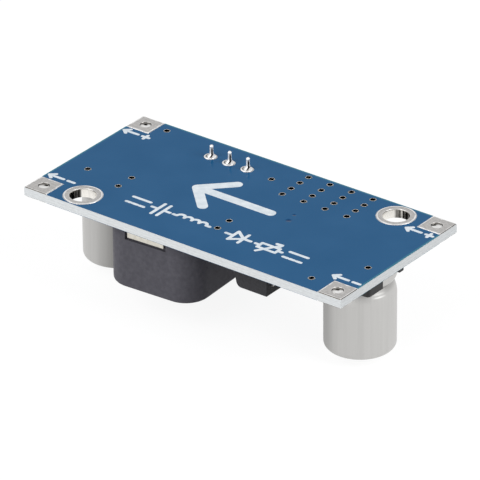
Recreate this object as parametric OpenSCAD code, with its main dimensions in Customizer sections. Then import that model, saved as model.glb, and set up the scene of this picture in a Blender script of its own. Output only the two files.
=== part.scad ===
// Step-down converter module: a small circuit board with its solder side up and its parts hanging below.
// It stands on the two cans and on the trimmer's screw.
// X runs from the output end to the input end, Y from the front edge to the back edge, Z up.
// The origin is under the middle of the board, on the surface that the module stands on.
// Places on the board are counted from its output end and its front edge.

/* [Board] */
// Thickness of the bare laminate
laminate_t = 1; // [0.8:0.1:1.6]
// Thickness of the solder mask film on each side
mask_t = 0.03; // [0.02:0.01:0.04]
// Thickness of the tinned copper on each side
copper_t = 0.05; // [0.05:0.01:0.08]
// Wall of the copper plated into each hole
plating_t = 0.05; // [0.03:0.01:0.08]
// Thickness of the copper and solder that line a mounting hole
mount_lining_t = 0.18; // [0.16:0.01:0.25]
// How far solder runs out from a lead
solder_reach = 0.35; // [0.2:0.05:0.5]
// Bare rim between the copper and the edge of its mask opening
mask_gap = 0.06; // [0.03:0.01:0.1]
// Thickness of the printed legend
legend_t = 0.02; // [0.01:0.005:0.03]

/* [Spacing along the board] */
// From each end of the board to the base of the can there
end_margin = 0.55; // [0.3:0.05:1.5]
// From the output can's base to the choke
can_choke_gap = 0.75; // [0.5:0.05:1.5]
// From the choke to the regulator
choke_regulator_gap = 1.2; // [0.8:0.05:2]
// From the regulator to the input can's base
regulator_can_gap = 1.05; // [0.8:0.05:2]
// From the choke's centre towards the output end to the trimmer's middle pin
trimmer_shift = 1.05; // [0.5:0.05:1.8]
// From the regulator's centre towards the input end to the diode's centre
diode_shift = 2.25; // [1:0.05:3.5]

/* [Spacing across the board] */
// From the front edge to the choke
choke_margin = 1.15; // [0.8:0.05:2]
// From the choke to the trimmer
choke_trimmer_gap = 1.95; // [1:0.05:3]
// From the trimmer to the back edge
trimmer_margin = 0.95; // [0.5:0.05:2]
// From the front edge to the diode's body
diode_margin = 1.05; // [0.5:0.05:2]
// From the diode's body to the regulator's feet
diode_regulator_gap = 0.95; // [0.8:0.05:2]
// From the regulator's tab to the back edge
tab_margin = 0.5; // [0.45:0.05:1.5]
// How far the input can stands from the centre line, towards the front
input_can_offset = 0.7; // [0:0.1:1]
// How far the output can stands from the centre line, towards the front
output_can_offset = 0.1; // [0:0.1:1]

/* [Pads and holes] */
// Side of each square corner pad
pad_side = 3.05; // [2:0.05:3.1]
// From the edges to the centre of a corner pad
pad_inset = 1.55; // [1.55:0.05:1.65]
// Finished diameter of a corner pad's hole
pad_hole_d = 1.15; // [0.8:0.05:1.5]
// Finished diameter of a mounting hole
mount_hole_d = 3; // [2.5:0.1:3.2]
// Diameter of the plated ring round a mounting hole
mount_ring_d = 4.4; // [4:0.05:4.6]
// From the board's end to a mounting hole's centre
mount_end_inset = 6.4; // [6:0.05:7]
// From the board's side to a mounting hole's centre
mount_side_inset = 2.35; // [2.35:0.05:2.6]
// Finished diameter of a via
via_d = 0.54; // [0.3:0.02:0.54]
// Diameter of the ring round a via
via_ring_d = 0.7; // [0.68:0.02:0.9]
// Rows and columns of vias under the regulator's tab
tab_vias = 4; // [2:1:5]
// Distance between those vias along the board
tab_via_pitch_x = 2.92; // [1.5:0.02:3]
// Distance between those vias across the board
tab_via_pitch_y = 1.62; // [1.2:0.02:1.8]

/* [Cans] */
// Diameter of each can
can_d = 8; // [6:0.1:9]
// Height of each can above its pads
can_h = 10.3; // [7:0.1:11]
// Rounding of the can's closed end
can_edge_r = 0.65; // [0.3:0.05:1]
// Height of the middle of the rolled bead above the pads
bead_z = 2; // [2:0.1:3]
// Depth of the rolled bead
bead_depth = 0.42; // [0.2:0.02:0.6]
// Side of the square moulded base
base_side = 8.3; // [8.2:0.1:10]
// Gap between the base and the pads, filled by the terminals
base_gap = 0.1; // [0.05:0.01:0.15]
// Thickness of the base's floor under the can
base_floor_t = 0.35; // [0.3:0.05:0.6]
// Height of the posts at the base's two square corners
base_post_h = 1.35; // [1:0.05:1.6]
// Height of the posts at the base's two cut corners
base_low_post_h = 0.75; // [0.6:0.05:0.9]
// Length of each corner post along the base's side
base_post_l = 2.65; // [2.2:0.05:3]
// Rounding of the base's two square corners
base_corner_r = 0.4; // [0.2:0.05:0.6]
// Size of the cut at the base's two positive corners
base_chamfer = 1.9; // [1:0.1:2]
// Play between the can and the base's posts
can_play = 0.05; // [0.02:0.01:0.1]
// Width of a can's flat terminal
can_lead_w = 0.9; // [0.6:0.05:1.2]
// Thickness of a can's flat terminal
can_lead_t = 0.2; // [0.16:0.01:0.25]
// Distance between the inner ends of a can's two terminals
can_lead_gap = 3.1; // [2.5:0.1:3.5]
// How far a terminal stands out past the base
can_lead_out = 0.35; // [0.2:0.05:0.5]

/* [Choke] */
// Side of the square shield
choke_side = 12; // [10:0.1:13]
// Height of the choke above its pads
choke_h = 7.8; // [6:0.05:8]
// Rounding of the shield's upright corners
choke_corner_r = 2.9; // [1.5:0.1:3.2]
// Rounding of the edge round the shield's outer face
choke_edge_r = 0.4; // [0.2:0.05:0.6]
// How far the choke is turned on its pads, in degrees
choke_skew = 3; // [0:0.5:5]
// Diameter of the shield's bore
shield_bore_d = 10; // [8:0.1:10.4]
// Width of the ring of glue between the core and the shield
glue_w = 0.2; // [0.1:0.05:0.4]
// Thickness of each flange of the drum core
flange_t = 1.3; // [0.8:0.1:1.6]
// Diameter of the drum core's waist
waist_d = 4.8; // [3:0.1:5.5]
// Diameter of the winding's wire
wire_d = 0.5; // [0.3:0.05:0.6]
// Width of a metal end clip
clip_w = 4.8; // [3:0.1:5]
// Thickness of a metal end clip
clip_t = 0.3; // [0.2:0.05:0.4]
// Height of a clip's upright tab above the pads
clip_h = 1.46; // [1:0.02:2]
// Length of a clip's foot under the shield
clip_foot_l = 2.7; // [2.4:0.1:3]
// Bare rim between a clip and the sides of its notch
clip_gap = 0.3; // [0.1:0.05:0.3]
// How far the clips and their notches sit off the middle of the shield's sides
clip_shift = -0.25; // [-0.3:0.05:0.3]

/* [Diode] */
// Length of the diode's body
diode_l = 4.2; // [3.5:0.1:4.6]
// Width of the diode's body
diode_w = 3.6; // [2.6:0.1:4]
// Height of the diode above its pads
diode_h = 2.6; // [2.3:0.05:2.7]
// Rounding of the end of the diode that points to the choke
diode_round = 0.75; // [0.3:0.05:0.8]
// Height at which the diode's leads leave the body
diode_lead_z = 1.45; // [1:0.05:1.5]
// Width of the diode's leads
diode_lead_w = 2; // [1.4:0.1:2.2]
// Thickness of the diode's leads
diode_lead_t = 0.2; // [0.15:0.01:0.25]
// How far a lead stands out from the body's end
diode_lead_out = 0.35; // [0.25:0.05:0.5]

/* [Regulator] */
// Width of the regulator's body
reg_w = 10.2; // [9.6:0.1:10.6]
// Length of the regulator's body
reg_body_l = 8.9; // [8.6:0.1:9.2]
// Height of the regulator's body
reg_h = 4.4; // [4.2:0.05:4.6]
// Thickness of the metal tab
tab_t = 1.27; // [1:0.01:1.4]
// Length of the tab that shows past the body
tab_out = 1.3; // [1:0.1:1.5]
// Length of the leads past the body
reg_lead_l = 4.9; // [4.5:0.1:5.2]
// Distance between leads
reg_pitch = 1.7; // [1.6:0.05:1.8]
// Width of a lead
reg_lead_w = 0.8; // [0.6:0.05:0.9]
// Thickness of a lead
reg_lead_t = 0.45; // [0.35:0.05:0.5]
// Height at which the leads leave the body
reg_lead_z = 2.6; // [2:0.1:2.8]

/* [Trimmer] */
// Length of the housing
trimmer_l = 9.53; // [9:0.01:10]
// Width of the housing
trimmer_w = 4.83; // [4.6:0.01:5.2]
// Height of the housing without its feet
trimmer_h = 10; // [9:0.1:11]
// Height of the housing's feet
trimmer_foot = 0.3; // [0.2:0.05:0.5]
// Thickness of the plate that closes the housing at its pins
trimmer_plate_t = 0.9; // [0.6:0.1:1.2]
// Distance between pins
pin_pitch = 2.54; // [2.5:0.01:2.58]
// Diameter of a pin
pin_d = 0.5; // [0.4:0.02:0.56]
// Height of the pin tips above the board
pin_out = 1.5; // [1.2:0.1:2.5]
// Diameter of the plated ring and the solder round a pin
pin_pad_d = 1.4; // [1.3:0.1:1.8]
// Height of the cone of solder round a pin
solder_cone_h = 0.75; // [0.4:0.05:1]
// Diameter of the screw's head
screw_head_d = 2.19; // [1.8:0.01:2.3]
// How far the screw stands out from the housing
screw_out = 1.2; // [1:0.1:1.5]
// Distance of the screw's axis from the two nearest sides
screw_inset = 1.27; // [1.25:0.01:1.4]
// Diameter of the screw's shaft
screw_shaft_d = 1.6; // [1.4:0.05:1.7]
// Running play round the screw
screw_play = 0.05; // [0.02:0.01:0.08]
// Width of the screwdriver slot
slot_w = 0.64; // [0.5:0.02:0.7]
// Depth of the screwdriver slot
slot_depth = 0.76; // [0.5:0.02:0.8]

/* [Chip parts] */
// Length of the resistor
resistor_l = 1.6; // [1.4:0.1:2]
// Width of the resistor
resistor_w = 0.8; // [0.7:0.05:1.25]
// Height of the resistor
resistor_h = 0.45; // [0.35:0.05:0.6]
// Length of the small capacitor
chip_cap_l = 2; // [1.6:0.1:2.2]
// Width of the small capacitor
chip_cap_w = 1.25; // [0.8:0.05:1.3]
// Height of the small capacitor
chip_cap_h = 0.85; // [0.6:0.05:1.2]
// From the back edge to the resistor's centre
resistor_inset = 1.9; // [1.6:0.1:2]
// From the resistor's centre to the small capacitor's centre
chip_spacing = 3.9; // [3.8:0.1:4.5]
// Length of the metal at each end of a chip part
chip_end_l = 0.35; // [0.2:0.05:0.4]

/* [Legend] */
// Width of the arrow's stroke
arrow_stroke = 1.2; // [0.8:0.1:1.5]
// Length of the arrow's shaft between the centres of its round ends
arrow_l = 10.1; // [6:0.1:10.5]
// Reach of each arm of the arrow, along and across the board
arrow_arm = 3.15; // [2:0.05:3.5]
// Width of the fine strokes
symbol_stroke = 0.38; // [0.2:0.01:0.4]
// Height of the row of circuit symbols
symbol_h = 2.6; // [2:0.1:2.6]
// Width of the printed outlines on the component side
outline_stroke = 0.18; // [0.12:0.01:0.25]

/* [Hidden] */
$fn = 48;

// Small distances and shapes that go with the sizes above
cut = 0.5;
hair = 0.02;
can_r = can_d / 2;
bead_rise = 1.6;
bead_fall = 0.8;
skirt_r = 0.3;
can_floor_z = base_gap + base_floor_t;
reg_len = tab_out + reg_body_l + reg_lead_l;
reg_floor = 0.05;
diode_floor = diode_lead_t + 0.05;
notch_d = clip_t + 0.05;
core_r = shield_bore_d / 2 - glue_w;
core_z0 = clip_t + 0.65;
core_z1 = choke_h - 0.1;

// Places along the board, counted from its output end
choke_reach = (choke_side / 2 - choke_corner_r) * (cos(choke_skew) + sin(choke_skew)) + choke_corner_r;
output_can_x = end_margin + base_side / 2;
choke_x = output_can_x + base_side / 2 + can_choke_gap + choke_reach;
reg_x = choke_x + choke_reach + choke_regulator_gap + reg_w / 2;
input_can_x = reg_x + reg_w / 2 + regulator_can_gap + base_side / 2;
board_l = input_can_x + base_side / 2 + end_margin;
trimmer_x = choke_x - trimmer_shift;
diode_x = reg_x + diode_shift;
chip_x = (trimmer_x + trimmer_l / 2 + reg_x - reg_w / 2) / 2;

// Places across the board, counted from its front edge
choke_row = choke_margin + 2 * choke_reach + choke_trimmer_gap + trimmer_w + trimmer_margin;
regulator_row = diode_margin + diode_w + diode_regulator_gap + reg_len + tab_margin;
board_w = max(choke_row, regulator_row);
choke_y = choke_margin + choke_reach;
trimmer_y = board_w - trimmer_margin - trimmer_w / 2;
diode_y = diode_margin + diode_w / 2;
tab_y = board_w - tab_margin;
input_can_y = board_w / 2 - input_can_offset;
output_can_y = board_w / 2 - output_can_offset;
resistor_y = board_w - resistor_inset;
chip_cap_y = resistor_y - chip_spacing;

// Heights above the surface that the module stands on
face_z = trimmer_foot + trimmer_h + screw_out;
laminate_z = face_z + mask_t;
laminate_top = laminate_z + laminate_t;
land_z = laminate_z - copper_t;
pad_top = laminate_top + copper_t;

// The screw's axis, counted from the trimmer's middle pin
screw_dx = trimmer_l / 2 - screw_inset;
screw_dy = trimmer_w / 2 - screw_inset;

// Centres of the plated holes
corner_pad_places = [
    for (x = [pad_inset, board_l - pad_inset], y = [pad_inset, board_w - pad_inset]) [x, y]
];
mount_places = [
    [mount_end_inset, mount_side_inset],
    [board_l - mount_end_inset, board_w - mount_side_inset]
];
pin_places = [for (i = [-1:1]) [trimmer_x + i * pin_pitch, trimmer_y]];
tab_via_inset = 2.78;
tab_via_places = [
    for (i = [0:tab_vias - 1], j = [0:tab_vias - 1])
        [
            reg_x + (i - (tab_vias - 1) / 2) * tab_via_pitch_x,
            tab_y - tab_via_inset + (j - (tab_vias - 1) / 2) * tab_via_pitch_y
        ]
];
track_via_places = [
    [3, 7.47],
    [8.2, 6.3],
    [8.2, 8.7],
    [4.4, board_w - 1.3],
    [reg_x - 5.3, 5.06],
    [reg_x - 5.3, 7.13],
    [chip_x - 0.5, resistor_y - 1.74],
    [board_l - 5.4, 2.06],
    [board_l - 1.9, 7.5]
];

// Moves to a place on the board
module at_board(x, y, z = 0) {
    translate([x - board_l / 2, y - board_w / 2, z]) children();
}

// Hangs a part, drawn upright on its pads, from the component side
module hang(x, y, z = land_z) {
    at_board(x, y, z) mirror([0, 0, 1]) children();
}

// Points along an arc
function arc(cx, cy, r, from, to, steps = 6) =
    [for (i = [0:steps]) let (a = from + (to - from) * i / steps) [cx + r * cos(a), cy + r * sin(a)]];

// Outline of a bent strip of the given thickness along a centre line
function unit(v) = v / norm(v);
function left_of(v) = [-v[1], v[0]];
function mitre(path, i) =
    let (
        before = unit(i > 0 ? path[i] - path[i - 1] : path[1] - path[0]),
        after = unit(i < len(path) - 1 ? path[i + 1] - path[i] : path[i] - path[i - 1]),
        n = left_of(unit(before + after))
    )
    n / (n * left_of(before));
function strip(path, t) = concat(
    [for (i = [0:len(path) - 1]) path[i] + mitre(path, i) * t / 2],
    [for (i = [len(path) - 1:-1:0]) path[i] - mitre(path, i) * t / 2]
);

// Extrudes an outline drawn in Y and Z along X, centred
module along_x(w) {
    rotate([90, 0, 90]) linear_extrude(w, center = true) children();
}

// A fine line through the points, as a flat shape that offset() later makes a round-ended stroke
module hairline(points) {
    for (i = [0:len(points) - 2]) {
        polygon(strip([points[i], points[i + 1]], hair));
    }
}

// Grows fine lines into strokes with round ends
module strokes(w) {
    offset(r = (w - hair) / 2, $fn = 16) children();
}

// A wedge of solder against an upright face, w wide, h high and l long
module solder_wedge(w, h, l) {
    along_x(w) polygon([[0, 0], [l, 0], [0.4 * l, 0.35 * h], [0, h]]);
}

// Circles of one size at many places
module discs(places, d) {
    for (p = places) {
        translate([p[0] - board_l / 2, p[1] - board_w / 2]) circle(d = d);
    }
}

// One copper land, grown by a rim for its mask opening
module land(x, y, w, l, rim) {
    translate([x, y]) square([w + 2 * rim, l + 2 * rim], center = true);
}

land_over = 0.5;
can_land_w = can_lead_w + 0.7;
can_land_l = (base_side - can_lead_gap) / 2 + can_lead_out + land_over;
clip_land_l = clip_foot_l + land_over;
diode_land_l = diode_lead_out + 1 + land_over;
foot_land_l = 3.2;
chip_land_l = chip_end_l + 0.5;

// All lands on the component side
module lands_flat(rim = 0) {
    for (c = [[input_can_x, input_can_y], [output_can_x, output_can_y]], s = [-1, 1]) {
        translate([c[0] - board_l / 2, c[1] - board_w / 2])
            land(0, s * (can_lead_gap + can_land_l) / 2, can_land_w, can_land_l, rim);
    }
    translate([choke_x - board_l / 2, choke_y - board_w / 2]) rotate(choke_skew) {
        for (s = [-1, 1]) {
            land(clip_shift, s * (choke_side / 2 + land_over - clip_land_l / 2),
                clip_w + 0.6, clip_land_l, rim);
        }
    }
    translate([diode_x - board_l / 2, diode_y - board_w / 2]) {
        for (s = [-1, 1]) {
            land(s * (diode_l / 2 - 1 + diode_land_l / 2), 0, diode_land_l, diode_lead_w + 0.4, rim);
        }
    }
    translate([reg_x - board_l / 2, tab_y - board_w / 2]) {
        land(0, 0.3 - reg_body_l / 2, reg_w + 0.6, reg_body_l, rim);
        for (i = [-2:2]) {
            land(i * reg_pitch, solder_reach - reg_len + foot_land_l / 2, reg_lead_w + 0.3, foot_land_l, rim);
        }
    }
    for (c = [[resistor_y, resistor_l, resistor_w], [chip_cap_y, chip_cap_l, chip_cap_w]], s = [-1, 1]) {
        translate([chip_x - board_l / 2, c[0] - board_w / 2])
            land(0, s * (c[1] / 2 - chip_end_l + chip_land_l / 2), c[2] + 0.1, chip_land_l, rim);
    }
}

// All plated rings and squares, the same on both sides
module rings_flat(rim = 0, vias = true) {
    for (p = corner_pad_places) {
        land(p[0] - board_l / 2, p[1] - board_w / 2, pad_side, pad_side, rim);
    }
    discs(mount_places, mount_ring_d + 2 * rim);
    discs(pin_places, pin_pad_d + 2 * rim);
    discs(track_via_places, via_ring_d + 2 * rim);
    if (vias) {
        discs(tab_via_places, via_ring_d + 2 * rim);
    }
}

// The whole board's outline
module board_flat() {
    square([board_l, board_w], center = true);
}

module board_laminate() {
    color("#dde1e2") translate([0, 0, laminate_z]) linear_extrude(laminate_t) difference() {
        board_flat();
        discs(corner_pad_places, pad_hole_d + 2 * plating_t);
        discs(mount_places, mount_hole_d + 2 * mount_lining_t);
        discs(pin_places, pin_hole_d + 2 * plating_t);
        discs(track_via_places, via_d + 2 * plating_t);
        discs(tab_via_places, via_d + 2 * plating_t);
    }
}

module solder_side_mask() {
    color("#355f89") translate([0, 0, laminate_top]) linear_extrude(mask_t) difference() {
        board_flat();
        rings_flat(mask_gap);
    }
}

module component_side_mask() {
    color("#355f89") translate([0, 0, face_z]) linear_extrude(mask_t) difference() {
        board_flat();
        rings_flat(mask_gap, false);
        lands_flat(mask_gap);
    }
}

// A plated hole: a barrel through the laminate with a flat ring on each side
module plated_hole(x, y, hole_d, lining = plating_t) {
    at_board(x, y) difference() {
        union() {
            translate([0, 0, land_z]) linear_extrude(copper_t) children();
            translate([0, 0, laminate_top]) linear_extrude(copper_t) children();
            translate([0, 0, land_z]) cylinder(d = hole_d + 2 * lining, h = pad_top - land_z);
        }
        translate([0, 0, land_z - cut]) cylinder(d = hole_d, h = pad_top - land_z + 2 * cut);
    }
}

pin_hole_d = pin_d + 0.3;

module corner_pads() {
    color("#c8c4c0") for (p = corner_pad_places) {
        plated_hole(p[0], p[1], pad_hole_d) square(pad_side, center = true);
    }
}

module mounting_rings() {
    color("#c8c4c0") for (p = mount_places) {
        plated_hole(p[0], p[1], mount_hole_d, mount_lining_t) circle(d = mount_ring_d);
    }
}

module trimmer_pads() {
    color("#c8c4c0") for (p = pin_places) {
        plated_hole(p[0], p[1], pin_hole_d) circle(d = pin_pad_d);
    }
}

module via_barrels() {
    color("#b9b7a8") {
        for (p = track_via_places) {
            plated_hole(p[0], p[1], via_d) circle(d = via_ring_d);
        }
        // Under the tab the barrels run into its land and have no ring of their own there
        for (p = tab_via_places) {
            at_board(p[0], p[1], land_z) difference() {
                union() {
                    cylinder(d = via_d + 2 * plating_t, h = pad_top - land_z);
                    translate([0, 0, laminate_top - land_z]) cylinder(d = via_ring_d, h = copper_t);
                }
                translate([0, 0, -cut]) cylinder(d = via_d, h = pad_top - land_z + 2 * cut);
            }
        }
    }
}

module component_lands() {
    color("#c8c4c0") translate([0, 0, land_z]) linear_extrude(copper_t) difference() {
        lands_flat();
        discs(tab_via_places, via_d + 2 * plating_t);
    }
}

// The arrow that shows which way the power flows
arrow_tip = [-6.2, 0.6];
module arrow_lines() {
    translate(arrow_tip) {
        hairline([[arrow_l, 0], [0, 0]]);
        hairline([[arrow_arm, arrow_arm], [0, 0], [arrow_arm, -arrow_arm]]);
    }
}

// Plain circuit symbols, each drawn from its left end on the row's centre line
bar = symbol_h / 2;
module direct_current_symbol() {
    hairline([[0, bar / 2], [2.4, bar / 2]]);
    for (i = [0:2]) {
        hairline([[i * 0.9, -bar / 2], [i * 0.9 + 0.6, -bar / 2]]);
    }
}

module capacitor_symbol() {
    hairline([[0, 0], [0.85, 0]]);
    hairline([[0.85, -bar], [0.85, bar]]);
    hairline([[1.65, -bar], [1.65, bar]]);
    hairline([[1.65, 0], [2.5, 0]]);
}

coil_r = 0.5;
module coil_symbol() {
    hairline([[0, 0], [0.5, 0]]);
    for (i = [0:3]) {
        hairline(arc(0.5 + (2 * i + 1) * coil_r, 0, coil_r, 180, 0, 8));
    }
    hairline([[0.5 + 8 * coil_r, 0], [1 + 8 * coil_r, 0]]);
}

module diode_symbol() {
    hairline([[0, 0], [1, 0], [1, bar * 0.8], [2.4, 0], [1, -bar * 0.8], [1, 0]]);
    hairline([[2.4, -bar * 0.8], [2.4, bar * 0.8]]);
    hairline([[2.4, 0], [3.4, 0]]);
}

module variable_resistor_symbol() {
    hairline([[0, 0], [0.6, 0], [0.6, 0.5], [3, 0.5], [3, -0.5], [0.6, -0.5], [0.6, 0]]);
    hairline([[3, 0], [3.6, 0]]);
    hairline([[1, -bar], [2.7, bar]]);
    hairline([[2, bar * 0.95], [2.7, bar], [2.6, bar * 0.4]]);
}

// A flow arrow with a plus or a minus, beside each corner pad
mark_h = 0.5;
module pad_mark(plus) {
    hairline([[0, 0], [2, 0]]);
    hairline([[0.6, mark_h], [0, 0], [0.6, -mark_h]]);
    hairline([[2.6, 0], [3.5, 0]]);
    if (plus) {
        hairline([[3.05, -0.45], [3.05, 0.45]]);
    }
}

symbol_row_y = 4.72;
pad_mark_y = 3.95;
module solder_side_legend_flat() {
    strokes(arrow_stroke) arrow_lines();
    strokes(symbol_stroke) {
        translate([-board_l / 2, symbol_row_y - board_w / 2]) {
            translate([11.1, 0]) direct_current_symbol();
            translate([14.15, 0]) capacitor_symbol();
            translate([17.1, 0]) coil_symbol();
            translate([24.3, 0]) diode_symbol();
            translate([28.3, 0]) variable_resistor_symbol();
            translate([32.5, 0]) direct_current_symbol();
        }
        for (s = [-1, 1]) {
            translate([0.4 - board_l / 2, s * (board_w / 2 - pad_mark_y)]) pad_mark(s > 0);
            translate([board_l / 2 - 3.9, s * (board_w / 2 - pad_mark_y)]) pad_mark(s > 0);
        }
    }
}

module solder_side_legend() {
    color("white") translate([0, 0, laminate_top + mask_t]) linear_extrude(legend_t) difference() {
        solder_side_legend_flat();
        rings_flat(mask_gap);
    }
}

// A closed fine line round a box
module box_line(x, y, w, l) {
    translate([x, y])
        hairline([[-w / 2, -l / 2], [w / 2, -l / 2], [w / 2, l / 2], [-w / 2, l / 2], [-w / 2, -l / 2]]);
}

outline_gap = 0.3;
module component_side_legend_flat() {
    translate([-board_l / 2, -board_w / 2]) {
        for (c = [[input_can_x, input_can_y], [output_can_x, output_can_y]]) {
            box_line(c[0], c[1], base_side + outline_gap, base_side + outline_gap);
            translate([c[0] + 1.6, c[1] + base_side / 2 + 0.9]) {
                hairline([[-0.4, 0], [0.4, 0]]);
                hairline([[0, -0.4], [0, 0.4]]);
            }
        }
        translate([choke_x, choke_y])
            box_line(0, 0, choke_side + 1.1, choke_side + 1.1);
        box_line(diode_x, diode_y, diode_l + 2.4, diode_w + 0.4);
        hairline([
            [diode_x - diode_l / 2 - 0.95, diode_y - diode_w / 2 - 0.2],
            [diode_x - diode_l / 2 - 0.95, diode_y + diode_w / 2 + 0.2]
        ]);
        box_line(trimmer_x, trimmer_y, trimmer_l + 0.5, trimmer_w + 0.5);
    }
}

module component_side_legend() {
    color("white") translate([0, 0, face_z - legend_t]) linear_extrude(legend_t) difference() {
        strokes(outline_stroke) component_side_legend_flat();
        rings_flat(mask_gap);
        lands_flat(mask_gap);
        for (c = [[input_can_x, input_can_y], [output_can_x, output_can_y]]) {
            translate([c[0] - board_l / 2, c[1] - board_w / 2])
                square([can_land_w + 0.6, board_w / 2], center = true);
        }
    }
}

// Solder that has filled the corner holes and sunk a little in the middle
pad_dimple = 0.3;
module corner_pad_solder() {
    r = pad_hole_d / 2;
    color("#b8b6b2") for (p = corner_pad_places) {
        at_board(p[0], p[1], land_z) rotate_extrude() polygon(concat(
            [[0, 0], [r, 0], [r, pad_top - land_z - 0.02]],
            [for (i = [1:5]) [r * cos(18 * i), pad_top - land_z - 0.02 - pad_dimple * sin(18 * i)]]
        ));
    }
}

// Solder drawn up each trimmer pin, and down through its hole
module trimmer_pin_solder() {
    h = pad_top - land_z;
    reach = pin_pad_d / 2 - 0.03;
    color("#cfccc8") for (p = pin_places) {
        at_board(p[0], p[1], land_z) rotate_extrude() polygon(concat(
            [[pin_d / 2, 0], [pin_hole_d / 2, 0], [pin_hole_d / 2, h], [reach, h]],
            [
                for (i = [1:6])
                    let (t = i / 6, swell = (1 - t) * (1 - 0.35 * t), rise = 0.25 * t + 0.75 * t * t)
                    [pin_d / 2 + (reach - pin_d / 2) * swell, h + solder_cone_h * rise]
            ]
        ));
    }
}

// Solder at the ends of every surface-mounted lead
module surface_solder() {
    color("#cfccc8") {
        for (c = [[input_can_x, input_can_y], [output_can_x, output_can_y]], s = [0, 180]) {
            hang(c[0], c[1]) rotate(s) translate([0, base_side / 2 + can_lead_out, 0])
                solder_wedge(can_lead_w, can_lead_t, solder_reach);
        }
        for (s = [0, 180]) {
            hang(choke_x, choke_y) rotate(choke_skew) translate([clip_shift, 0, 0])
                rotate(s) translate([0, choke_side / 2, 0])
                    solder_wedge(clip_w, clip_h / 3, solder_reach);
            hang(diode_x, diode_y) rotate(s - 90) translate([0, diode_l / 2 + diode_lead_out, 0])
                solder_wedge(diode_lead_w, diode_lead_z * 0.4, solder_reach);
            hang(chip_x, resistor_y) rotate(s) translate([0, resistor_l / 2, 0])
                solder_wedge(resistor_w, resistor_h * 0.7, solder_reach * 0.85);
            hang(chip_x, chip_cap_y) rotate(s) translate([0, chip_cap_l / 2, 0])
                solder_wedge(chip_cap_w, chip_cap_h * 0.6, solder_reach);
        }
        hang(reg_x, tab_y) solder_wedge(reg_w * 0.92, tab_t * 0.4, solder_reach * 0.7);
        for (i = [-2:2]) {
            hang(reg_x + i * reg_pitch, tab_y - reg_len) rotate(180)
                solder_wedge(reg_lead_w, reg_lead_t * 0.8, solder_reach * 0.85);
        }
    }
}

// A drawn aluminium can: curled skirt, rolled bead and rounded closed end
module can_solid() {
    rotate_extrude() polygon(concat(
        [[0, can_floor_z], [can_r - skirt_r, can_floor_z]],
        arc(can_r - skirt_r, can_floor_z + skirt_r, skirt_r, -90, 0),
        [
            for (i = [0:6])
                let (t = i / 6)
                [can_r - bead_depth * (1 - cos(90 * t)), bead_z - bead_fall * (1 - t)]
        ],
        [
            for (i = [1:8])
                let (t = i / 8)
                [can_r - bead_depth * (1 - sin(90 * t)), bead_z + bead_rise * t]
        ],
        arc(can_r - can_edge_r, can_h - can_edge_r, can_edge_r, 0, 90, 8),
        [[0, can_h]]
    ));
}

module can_terminal_pair() {
    for (s = [0, 180]) {
        rotate(s) translate([-can_lead_w / 2, can_lead_gap / 2, 0])
            cube([can_lead_w, (base_side - can_lead_gap) / 2 + can_lead_out, can_lead_t]);
    }
}

// The moulded base: a thin floor with a post at each corner, and two corners cut on the positive side
module can_base_solid() {
    half = base_side / 2;
    inner = half - base_corner_r;
    opening = base_side - 2 * base_post_l;
    round_corners = concat(
        arc(-inner, -inner, base_corner_r, 180, 270, 3),
        arc(inner, -inner, base_corner_r, 270, 360, 3)
    );
    difference() {
        union() {
            translate([0, 0, base_gap]) linear_extrude(base_low_post_h) polygon(concat(round_corners, [
                [half, half - base_chamfer], [half - base_chamfer, half],
                [base_chamfer - half, half], [-half, half - base_chamfer]
            ]));
            translate([0, 0, base_gap]) linear_extrude(base_post_h) polygon(concat(round_corners, [
                [half, base_post_l - half], [-half, base_post_l - half]
            ]));
        }
        translate([0, 0, can_floor_z]) cylinder(r = can_r + can_play, h = base_post_h + cut);
        translate([-opening / 2, -base_side, can_floor_z]) cube([opening, 2 * base_side, base_post_h + cut]);
        translate([-base_side, -opening / 2, can_floor_z]) cube([2 * base_side, opening, base_post_h + cut]);
        can_terminal_pair();
    }
}

module input_can() {
    color("#bdbbb9") hang(input_can_x, input_can_y) can_solid();
}

module input_can_base() {
    color("#2a2a2c") hang(input_can_x, input_can_y) can_base_solid();
}

module input_can_terminals() {
    color("#cfccc8") hang(input_can_x, input_can_y) can_terminal_pair();
}

module output_can() {
    color("#bdbbb9") hang(output_can_x, output_can_y) can_solid();
}

module output_can_base() {
    color("#2a2a2c") hang(output_can_x, output_can_y) can_base_solid();
}

module output_can_terminals() {
    color("#cfccc8") hang(output_can_x, output_can_y) can_terminal_pair();
}

// The dark segment that marks the negative side on the closed end of each can
ink_edge = 1.9;
module can_ink_marks() {
    color("#26262a") for (c = [[input_can_x, input_can_y], [output_can_x, output_can_y]]) {
        hang(c[0], c[1]) translate([0, 0, can_h]) linear_extrude(legend_t) difference() {
            circle(r = can_r - can_edge_r);
            translate([-can_r, -ink_edge]) square([can_d, can_d]);
        }
    }
}

// A block with rounded upright corners, drawn in at the outer face by the given amount
module choke_layer(z, inset) {
    corner = choke_side / 2 - choke_corner_r;
    translate([0, 0, z]) linear_extrude(hair) hull() {
        for (x = [-corner, corner], y = [-corner, corner]) {
            translate([x, y]) circle(r = choke_corner_r - inset, $fn = 64);
        }
    }
}

module choke_block() {
    hull() {
        choke_layer(clip_t, 0);
        choke_layer(choke_h - choke_edge_r - hair, 0);
        choke_layer(choke_h - 0.3 * choke_edge_r - hair, 0.3 * choke_edge_r);
        choke_layer(choke_h - hair, choke_edge_r);
    }
}

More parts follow.
